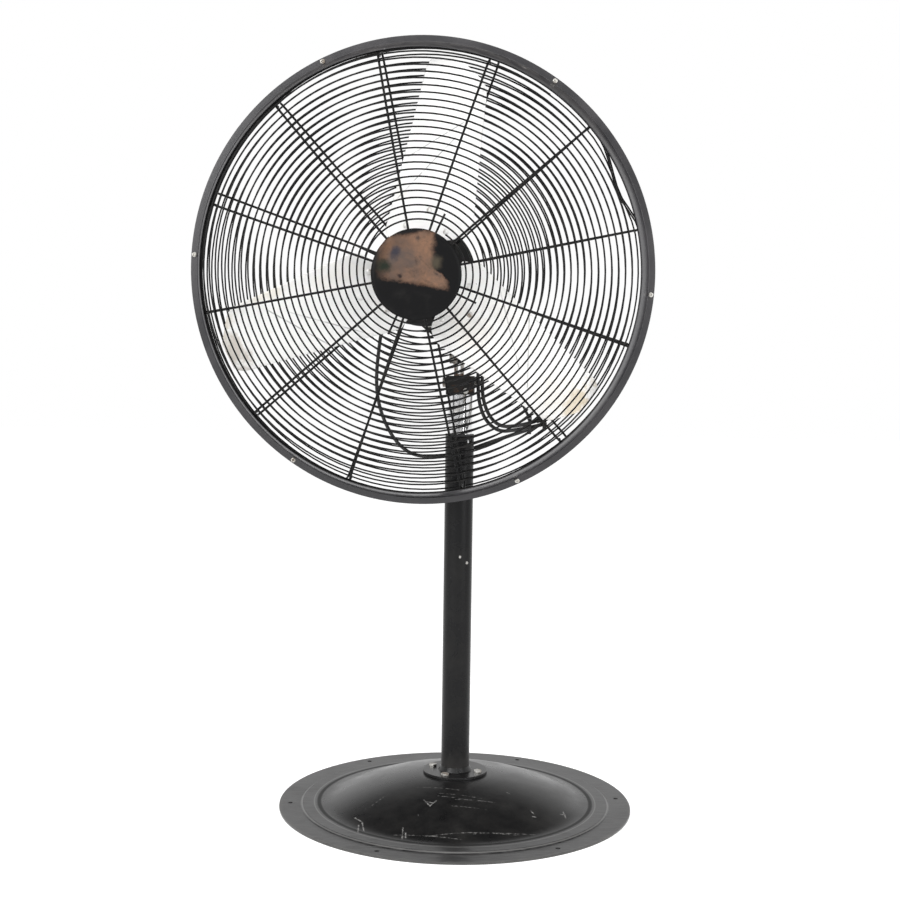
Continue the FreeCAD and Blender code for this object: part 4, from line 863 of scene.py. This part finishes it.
def makeDiscFinish():
    # black enamel rubbed through to a brown film over much of its upper half
    finish = finishFor("discFace", dict(
        colour=(0.004, 0.004, 0.0043), roughness=0.42, shine=0.09, grain=(420, 0.0001),
        grime=(22, 0.6, 0.12, (0.012, 0.0115, 0.011), 0.5),
        chips=(70, 0.13, 0.94, (0.09, 0.07, 0.06)), scratches=(170, 0.08, (0.05, 0.046, 0.043))))
    face = finish.node("SeparateXYZ", {"Vector": finish.node("UVMap", uv_map="face")})
    x = finish.plus(finish.scaled(face.outputs[0], 2.0, -1.0), finish.ragged(0.34, 34.0, 5.0, 0.65))
    y = finish.plus(finish.scaled(face.outputs[1], 2.0, -1.0), finish.ragged(0.3, 61.0, 5.0, 0.7))
    # the right edge steps out lower down, and the low and top edges lean a little
    lowEdge = finish.ramp(finish.scaled(x, 0.14, y), *disc["wornLow"])
    reach = finish.ramp(y, -0.2, 0.16, 0.7, 0.36)
    rightEdge = finish.ramp(finish.minus(x, reach), *disc["wornRight"])
    topEdge = finish.ramp(finish.scaled(x, -0.12, y), *disc["wornTop"])
    leftEdge = finish.ramp(x, *disc["wornLeft"])
    worn = finish.times(finish.times(lowEdge, rightEdge), finish.times(topEdge, leftEdge))
    left = finish.times(worn, finish.ramp(x, 0.1, -0.75, 1.0, 0.45))
    finish.layer(left, disc["film"], 0.62)
    warm = finish.times(left, finish.group("grimeCloud", "Mask", Scale=26.0, Level=0.5, Soft=0.16))
    finish.layer(warm, disc["warmFilm"])
    for scale, level, colour in disc["dull"]:
        cloud = finish.group("grimeCloud", "Mask", Scale=scale, Level=level, Soft=0.14)
        finish.layer(finish.times(worn, cloud), colour)
    for middleX, middleY, size, colour in disc["stains"]:
        off = finish.vector("DISTANCE", finish.node("CombineXYZ", {"X": x, "Y": y}), (middleX, middleY, 0.0))
        finish.layer(finish.ramp(off, size, size * 0.2), colour)
    finish.bump(worn, 0.00012, 0.5)
    return finish.material


def makeDisc():
    # turned profile: a flat back, a rolled edge, a bevel rising as 1 - (1 - t)^2.2, a faintly waved face
    r, low, high = disc["radius"], disc["back"], disc["back"] + disc["thick"]
    edge = [(0, low), (r - 1, low), (r - 0.3, low + 0.1), (r, low + 0.5), (r - 0.2, low + 0.95)]
    t = np.linspace(0.12, 1, 8)
    rise = (disc["thick"] - 1.1) * (1 - (1 - t) ** 2.2)
    bevel = np.column_stack([r - 0.2 - disc["bevel"] * t, low + 0.95 + rise])
    t = np.linspace(0.05, 1, 14)
    face = np.column_stack([(r - 7.5) * (1 - t), high - 0.12 + 0.1 * np.sin(math.pi * t)])
    points = lathed(np.concatenate([edge, bevel, face]), disc["steps"])
    shell = Shell()
    shell.grid(onHead(points), wrapColumns=True, uv=points[..., :2] / r * 0.5 + 0.5)
    shell.piece("hubDisc", makeDiscFinish(), "head", ("hub_disc",), "disc_enamel", sharp=50, uvName="face")


makeDisc()
print("band and disc done")

blades = dict(
    pitch=24.0, phase=9.0, plane=38.0, lift=2.03, thick=1.6, rows=120, columns=64, root=37.5, long=287.5,
    # (along, across) of the two long edges, from the root to the tip, in mm
    left=[(37, -57), (57.5, -72.8), (59.5, -73.9), (62, -73.7), (120, -67), (240, -55), (300, -49.6),
          (311, -48), (317, -45), (321, -42), (325, -37)],
    right=[(37, -57), (56, 30), (64, 57), (70, 63.5), (77, 68.5), (84, 71.5), (95, 72.5), (225, 62.5),
           (275, 60), (285, 57.8), (292, 54.5), (298, 50), (312, 28.5), (323.4, 11.5), (325, 7)],
    # how far each blade sits to the side of its arm
    sway=(3.5, -3.5, 0.5),
    # pressed stiffening lines: start and end as (across, along)
    creases=(((-66, 103), (25, 216)), ((-63, 167), (41, 242))),
    crease=0.9, creaseWidth=2.1,
    # films of dirt on each blade: (across, along, how far across, how far along, strength, colour)
    dirt=((),
          ((4, 312, 42, 18, 0.9, (0.66, 0.56, 0.4)), (16, 290, 40, 36, 0.4, (0.86, 0.78, 0.66)),
           (20, 120, 40, 60, 0.3, (0.93, 0.86, 0.79)), (-30, 160, 20, 90, 0.3, (0.9, 0.85, 0.79))),
          ((-6, 312, 52, 22, 0.85, (0.58, 0.53, 0.47)), (42, 306, 20, 18, 0.6, (0.7, 0.64, 0.55)),
           (60, 232, 13, 46, 0.5, (0.88, 0.82, 0.69)), (44, 120, 30, 50, 0.3, (0.93, 0.88, 0.8)))),
    # where the rivets are, their heads' radius and height, and the level of the lower heads
    rivets=((0, 98), (-36, 70), (34, 70)), rivetHead=(5.0, 1.9), rivetBack=-2.0,
)


def onBlade(points, number):
    # blade frame to fan frame: pitched about its own arm, raised to the blade plane, then turned
    pitch = math.radians(blades["pitch"])
    u, v, w = points[..., 0], points[..., 1], points[..., 2]
    x, z = u * math.cos(pitch) - w * math.sin(pitch), u * math.sin(pitch) + w * math.cos(pitch)
    return spunAbout(np.stack([x, v, z + blades["plane"]], axis=-1), blades["phase"] + 120 * number)


def bladeGrid():
    # rows run up the blade, crowded at both ends; each row goes from the left edge to the right.
    # The height is a ridge exp(-(distance / width)^2) along each crease, and a slow wave.
    t = 0.5 - 0.5 * np.cos(np.linspace(0, math.pi, blades["rows"]))
    v = blades["root"] + blades["long"] * t
    left, right = np.array(blades["left"], float), np.array(blades["right"], float)
    low, high = np.interp(v, left[:, 0], left[:, 1]), np.interp(v, right[:, 0], right[:, 1])
    s = np.linspace(0, 1, blades["columns"])[None, :]
    u = low[:, None] + (high - low)[:, None] * s
    v = np.repeat(v[:, None], blades["columns"], axis=1)
    w = np.full_like(u, blades["lift"] + blades["thick"] / 2)
    for start, end in blades["creases"]:
        start, end = np.array(start, float), np.array(end, float)
        along = (end - start) / np.linalg.norm(end - start)
        off = (u - start[0]) * along[1] - (v - start[1]) * along[0]
        run = (u - start[0]) * along[0] + (v - start[1]) * along[1]
        fade = np.clip(run / 14, 0, 1) * np.clip((np.linalg.norm(end - start) - run) / 14, 0, 1)
        w += blades["crease"] * np.exp(-(off / blades["creaseWidth"]) ** 2) * fade
    w += 0.35 * np.sin(v / 41.0 + 0.6) * np.sin(u / 33.0) * np.clip((v - 110) / 60, 0, 1)
    return np.stack([u, v, w], axis=2)


def makeBladeFinish(number, dirt):
    finish = finishFor("bladeSheet%d" % number, dict(
        colour=(0.95, 0.945, 0.935), roughness=0.45, grain=(500, 0.00004),
        grime=(13, 0.62, 0.14, (0.87, 0.855, 0.83), 0.46), chips=(95, 0.13, 0.975, (0.3, 0.27, 0.24))))
    sheet = finish.node("SeparateXYZ", {"Vector": finish.node("UVMap", uv_map="sheet")})
    across = finish.scaled(sheet.outputs[0], 400.0, -200.0)
    along = finish.times(sheet.outputs[1], 400.0)
    for (x1, y1), (x2, y2) in blades["creases"]:
        length = math.hypot(x2 - x1, y2 - y1)
        ax, ay = (x2 - x1) / length, (y2 - y1) / length
        # distances beside and along the crease
        side = finish.scaled(across, ay, finish.scaled(along, -ax, ax * y1 - ay * x1))
        run = finish.scaled(across, ax, finish.scaled(along, ay, -ax * x1 - ay * y1))
        ends = finish.times(finish.ramp(run, 2.0, 12.0), finish.ramp(run, length - 2, length - 12))
        broken = finish.ramp(finish.noise(finish.place, 60.0, 3.0), 0.34, 0.62, 0.25, 0.9)
        # painted shade: a thin grey line along each crease, broken up by noise and faded at its ends
        line = finish.times(finish.ramp(finish.maths("ABSOLUTE", side), 1.5, 0.5), ends)
        finish.layer(finish.times(line, broken), (0.42, 0.42, 0.42), 0.55)
    cloud = finish.minus(finish.noise(finish.place, 42.0, 6.0, 0.7), 0.5)
    for middleX, middleY, wide, tall, strength, colour in dirt:
        x = finish.scaled(across, 1 / wide, -middleX / wide)
        y = finish.scaled(along, 1 / tall, -middleY / tall)
        off = finish.vector("LENGTH", finish.node("CombineXYZ", {"X": x, "Y": y}))
        film = finish.ramp(finish.scaled(cloud, 2.6, off), 1.15, 0.35, 0.0, strength)
        finish.layer(film, colour, 0.6)
    return finish.material


def makeBlades():
    grid = bladeGrid()
    uv = np.stack([grid[..., 0] / 400 + 0.5, grid[..., 1] / 400], axis=2)
    for number, dirt in enumerate(blades["dirt"]):
        shell = Shell()
        shell.grid(onHead(onBlade(grid + np.array([blades["sway"][number], 0, 0]), number)), uv=uv)
        name = "blade_%d" % (number + 1)
        piece = shell.piece(name + "Sheet", makeBladeFinish(number + 1, dirt), "rotor", (name,),
                            "blade_aluminium", sharp=50, uvName="sheet")
        solid = piece.modifiers.new("sheetThickness", "SOLIDIFY")
        solid.thickness, solid.offset = blades["thick"] * mm, 0.0


def makeRivets():
    # domed heads on both faces: height times 1 - r^2.6
    shell = Shell()
    r = np.linspace(0, 1, 8)
    radius, height = blades["rivetHead"]
    dome = np.stack([radius * r, height * (1 - r ** 2.6)], axis=1)
    top = blades["lift"] + blades["thick"]
    for number in range(3):
        for across, along in blades["rivets"]:
            for base, side in ((top, 1.0), (blades["rivetBack"], -1.0)):
                head = lathed(np.concatenate([dome, [(0.0, -0.3)]]), 24) * np.array([1, 1, side])
                shell.grid(onHead(onBlade(head + np.array([across, along, base]), number)), wrapColumns=True)
    pale = finishFor("rivetHeads", dict(looks["zinc_plate"], colour=(0.82, 0.815, 0.8), metallic=0.35))
    shell.piece("bladeRivets", pale.material, "rotor", ("blade_rivets",), "zinc_plate", sharp=60)


makeBlades()
makeRivets()
print("blades pressed")

# Pieces worked up from the made parts: node and bevel in mm
worked = dict(
    column_flange=0.6, flange_bolts=0.5, column_bush=0.7, lock_stud=0.4, lock_knob=1.6, inner_mast=0.5,
    head_clamp=1.2, pinch_bolt=0.5, locating_screw=0.5, tilt_clevis=0.9, tilt_bolt=0.6,
    tilt_bracket=1.0, cradle_bolts=0.4, motor_front_bell=1.4, motor_shell=0.4, motor_rear_bell=1.4,
    terminal_box=1.6, terminal_cover=0.6, switch_housing=1.6, rear_guard_plate=0.5, guard_bolts=0.5,
    disc_clamp_ring=0.5, disc_studs=0.4, disc_tie_wires=0.5, blade_hub=1.0, blade_spider=0.8,
    rotor_shaft=0.6, hub_set_screw=0.4, switch_spindle=0.4, switch_knob=1.0,
)


def slotOf(node):
    return next(row["material_slot"] for row in frame["record"]["subparts"] if row["node"] == node)


# the painted highlight ring on the motor's shoulder: its radius in metres and its colour
bell = dict(shoulder=0.0652, shoulderHighlight=(0.55, 0.55, 0.54))


def makeBellFinish():
    # a painted highlight on the motor's front: a thin bright ring at its shoulder's distance from the axis
    finish = finishFor("frontBell", looks["motor_paint"])
    past = finish.vector("SUBTRACT", finish.place, Vector(fanOrigin * mm))
    off = finish.vector("LENGTH", finish.vector("CROSS_PRODUCT", past, Vector(fanAxes[2])))
    ridge = finish.maths("ABSOLUTE", finish.minus(off, bell["shoulder"]))
    finish.layer(finish.times(finish.ramp(ridge, 0.0034, 0.0014), 0.8), bell["shoulderHighlight"], 0.4)
    return finish.material


special = dict(motor_front_bell=makeBellFinish())
for node, bevel in worked.items():
    refined(node, special.get(node, paint[slotOf(node)]), bevel)
print("worked pieces:", len(worked))

base = dict(
    # rings of wear, darkening and painted highlight, as radii in metres: where the rim's flat and its outer
    # edge begin, the groove's two sides, and the ridges that catch the light, which get painted highlight
    # lines
    flat=(0.226, 0.236), rim=(0.293, 0.301), groove=((0.2275, 0.2305), (0.2375, 0.2335)),
    ridges=(0.2405, 0.2615),
    # scratches through the paint, seen from above, each from one point to another
    scratches=(((-0.1575, -0.1325), (-0.1442, -0.1492)), ((-0.1442, -0.1492), (-0.1378, -0.1789)),
               ((-0.1490, -0.1560), (-0.1467, -0.1855)), ((-0.0751, -0.1833), (-0.0744, -0.2118)),
               ((-0.0700, -0.1950), (-0.0690, -0.2080)), ((-0.0459, -0.1191), (-0.0350, -0.1366)),
               ((-0.0350, -0.1366), (-0.0260, -0.1237)), ((-0.0400, -0.1250), (-0.0300, -0.1300)),
               ((0.0895, -0.0760), (0.0940, -0.0785)), ((0.1292, -0.1158), (0.1340, -0.1210)),
               ((0.1310, -0.1290), (0.1372, -0.1280)), ((0.1830, -0.0800), (0.1872, -0.0984)),
               ((0.1790, -0.0920), (0.1860, -0.0880))),
    # long faint ones that run across the front
    lines=(((-0.1349, -0.1138), (-0.1141, -0.0910)), ((-0.0220, -0.1010), (0.0480, -0.1100)),
           ((0.0007, -0.1373), (0.0560, -0.1397)), ((-0.0600, -0.0760), (0.0100, -0.0890)),
           ((0.0050, -0.1190), (0.0700, -0.1160)), ((-0.0280, -0.1080), (0.0260, -0.1180)),
           ((0.0350, -0.1990), (0.1350, -0.1750)), ((-0.0300, -0.2060), (0.1100, -0.1850)),
           ((-0.0900, -0.1980), (0.0200, -0.2130))),
)


def makeBaseFinish():
    finish = finishFor("baseShell", looks["base_paint"])
    # the rim's edge is rubbed lighter, the ridges round the foot get painted highlight lines, and the groove
    # is darkened
    axis = finish.node("SeparateXYZ", {"Vector": finish.place})
    radius = finish.vector("LENGTH", finish.node("CombineXYZ", {"X": axis.outputs[0], "Y": axis.outputs[1]}))
    spread = finish.plus(radius, finish.ragged(0.012, 46.0, 5.0, 0.65))
    drawn = finish.node("Mapping", {"Vector": finish.place, "Scale": (0.1, 1.0, 1.0)})
    brushed = finish.noise(drawn, 300.0, 4.0)
    flat = finish.times(finish.ramp(spread, *base["flat"]), finish.ramp(brushed, 0.3, 0.75))
    finish.layer(flat, (0.06, 0.0595, 0.059), 0.34)
    rim = finish.ramp(spread, *base["rim"])
    finish.layer(finish.times(rim, 0.5), (0.11, 0.108, 0.104), 0.42)
    # the groove is darkened
    inner, outer = (finish.ramp(radius, *side) for side in base["groove"])
    finish.layer(finish.times(finish.times(inner, outer), 0.75), (0.006, 0.0058, 0.0056), 0.6)
    # painted highlights: thin light lines at the ridges' radii
    for lightAt in base["ridges"]:
        ridge = finish.maths("ABSOLUTE", finish.minus(radius, lightAt))
        finish.layer(finish.times(finish.ramp(ridge, 0.0016, 0.0004), 0.5), (0.2, 0.198, 0.194), 0.4)
    broken = finish.ramp(finish.noise(finish.place, 210.0, 4.0), 0.4, 0.6)
    finish.layer(finish.times(finish.strokes(base["lines"], 0.0009), broken), (0.14, 0.137, 0.133), 0.5)
    cut = finish.times(finish.strokes(base["scratches"], 0.0012), finish.ramp(broken, 0.0, 0.6, 0.3))
    finish.layer(cut, (0.22, 0.216, 0.21), 0.5)
    return finish.material


column = dict(
    chips=((0.0042, -0.0238, 0.4289), (0.0160, -0.0181, 0.4182)), chipSize=0.0028,
    # height over which the dust at the foot fades
    foot=(0.11, 0.06),
)


def makeColumnFinish():
    # two bare chips half way up, and a dusty foot
    finish = finishFor("columnTube", looks["column_paint"])
    height = finish.node("SeparateXYZ", {"Vector": finish.place}).outputs[2]
    finish.layer(finish.spots(column["chips"], column["chipSize"]), (0.4, 0.39, 0.37), 0.5)
    foot = finish.ramp(finish.plus(height, finish.ragged(0.05, 60.0, 4.0)), *column["foot"])
    finish.layer(finish.times(foot, 0.4), (0.05, 0.047, 0.045), 0.6)
    return finish.material


refined("base_plate", makeBaseFinish(), 0.8, sharp=25)
refined("outer_column", makeColumnFinish(), 0.35)

# The nodes that stay as they are, mostly inside, take their slot's finish
for node, made in frame["nodes"].items():
    made.data.materials.clear()
    made.data.materials.append(paint.get(slotOf(node), paint["zinc_plate"]))
print("base and column finished")

studio = dict(
    worldFill=0.7, floorGlow=0.44, floorHalf=14.0, floorLevel=-0.0004,
    # mirrored sky: white up to one height of the view, dark above the next
    skyWhite=0.36, skyDark=0.6, overhead=0.03,
    # lamps: place, the height aimed at, size, power
    lamps=dict(keyLamp=((-2.2, -2.6, 1.7), 0.6, (2.0, 1.6), 66),
               fillLamp=((2.5, -2.3, 1.3), 0.6, (1.6, 1.8), 38),
               topLamp=((0.1, -1.9, 2.9), 0.5, (2.4, 1.6), 40)),
)


def seenDirectly(w):
    # what the camera sees, straight or in metal and glass
    light = w.node("LightPath")
    mirrored = w.maths("MAXIMUM", light.outputs["Is Glossy Ray"], light.outputs["Is Transmission Ray"])
    return w.maths("MAXIMUM", light.outputs["Is Camera Ray"], mirrored)


def makeFloor():
    mesh = bpy.data.meshes.new("studioFloor")
    half, level = studio["floorHalf"], studio["floorLevel"]
    corners = [(-half, -half, level), (half, -half, level), (half, half, level), (-half, half, level)]
    mesh.from_pydata(corners, [], [(0, 1, 2, 3)])
    floor = bpy.data.objects.new("studioFloor", mesh)
    scene.collection.objects.link(floor)
    material = bpy.data.materials.new("paleFloor")
    material.use_nodes = True
    w = Wiring(material.node_tree)
    shader, out = w.tree.nodes["Principled BSDF"], w.tree.nodes["Material Output"]
    shader.inputs["Base Color"].default_value = (0.86, 0.86, 0.86, 1)
    shader.inputs["Roughness"].default_value = 0.9
    shader.inputs["Specular IOR Level"].default_value = 0.1
    glow = w.node("Emission", {"Color": (1, 1, 1, 1), "Strength": studio["floorGlow"]})
    none = w.node("Emission", {"Strength": 0.0})
    picked = w.node("MixShader", {0: seenDirectly(w), 1: none, 2: glow})
    w.feed(out.inputs["Surface"], w.node("AddShader", {0: shader.outputs[0], 1: picked}))
    mesh.materials.append(material)


def makeWorld():
    world = bpy.data.worlds.new("studioWorld")
    scene.world = world
    world.use_nodes = True
    w = Wiring(world.node_tree)
    w.tree.nodes.clear()
    height = w.node("SeparateXYZ", {"Vector": w.node("TexCoord").outputs["Generated"]}).outputs["Z"]
    sky = w.ramp(height, studio["skyWhite"], studio["skyDark"], 1.0, studio["overhead"])
    seen = w.node("Background", {"Color": (1, 1, 1, 1), "Strength": sky})
    fill = w.node("Background", {"Color": (1, 1, 1, 1), "Strength": studio["worldFill"]})
    w.node("OutputWorld", {"Surface": w.node("MixShader", {0: seenDirectly(w), 1: fill, 2: seen})})


def makeLamp(name, place, aim, size, power):
    data = bpy.data.lights.new(name, "AREA")
    data.shape, data.size, data.size_y, data.energy = "RECTANGLE", size[0], size[1], power
    lamp = bpy.data.objects.new(name, data)
    lamp.location = place
    lamp.rotation_euler = (Vector((0, 0, aim)) - Vector(place)).to_track_quat("-Z", "Y").to_euler()
    scene.collection.objects.link(lamp)


makeFloor()
makeWorld()
for name, lamp in studio["lamps"].items():
    makeLamp(name, *lamp)
scene.view_settings.view_transform = "Standard"
print("studio lit")
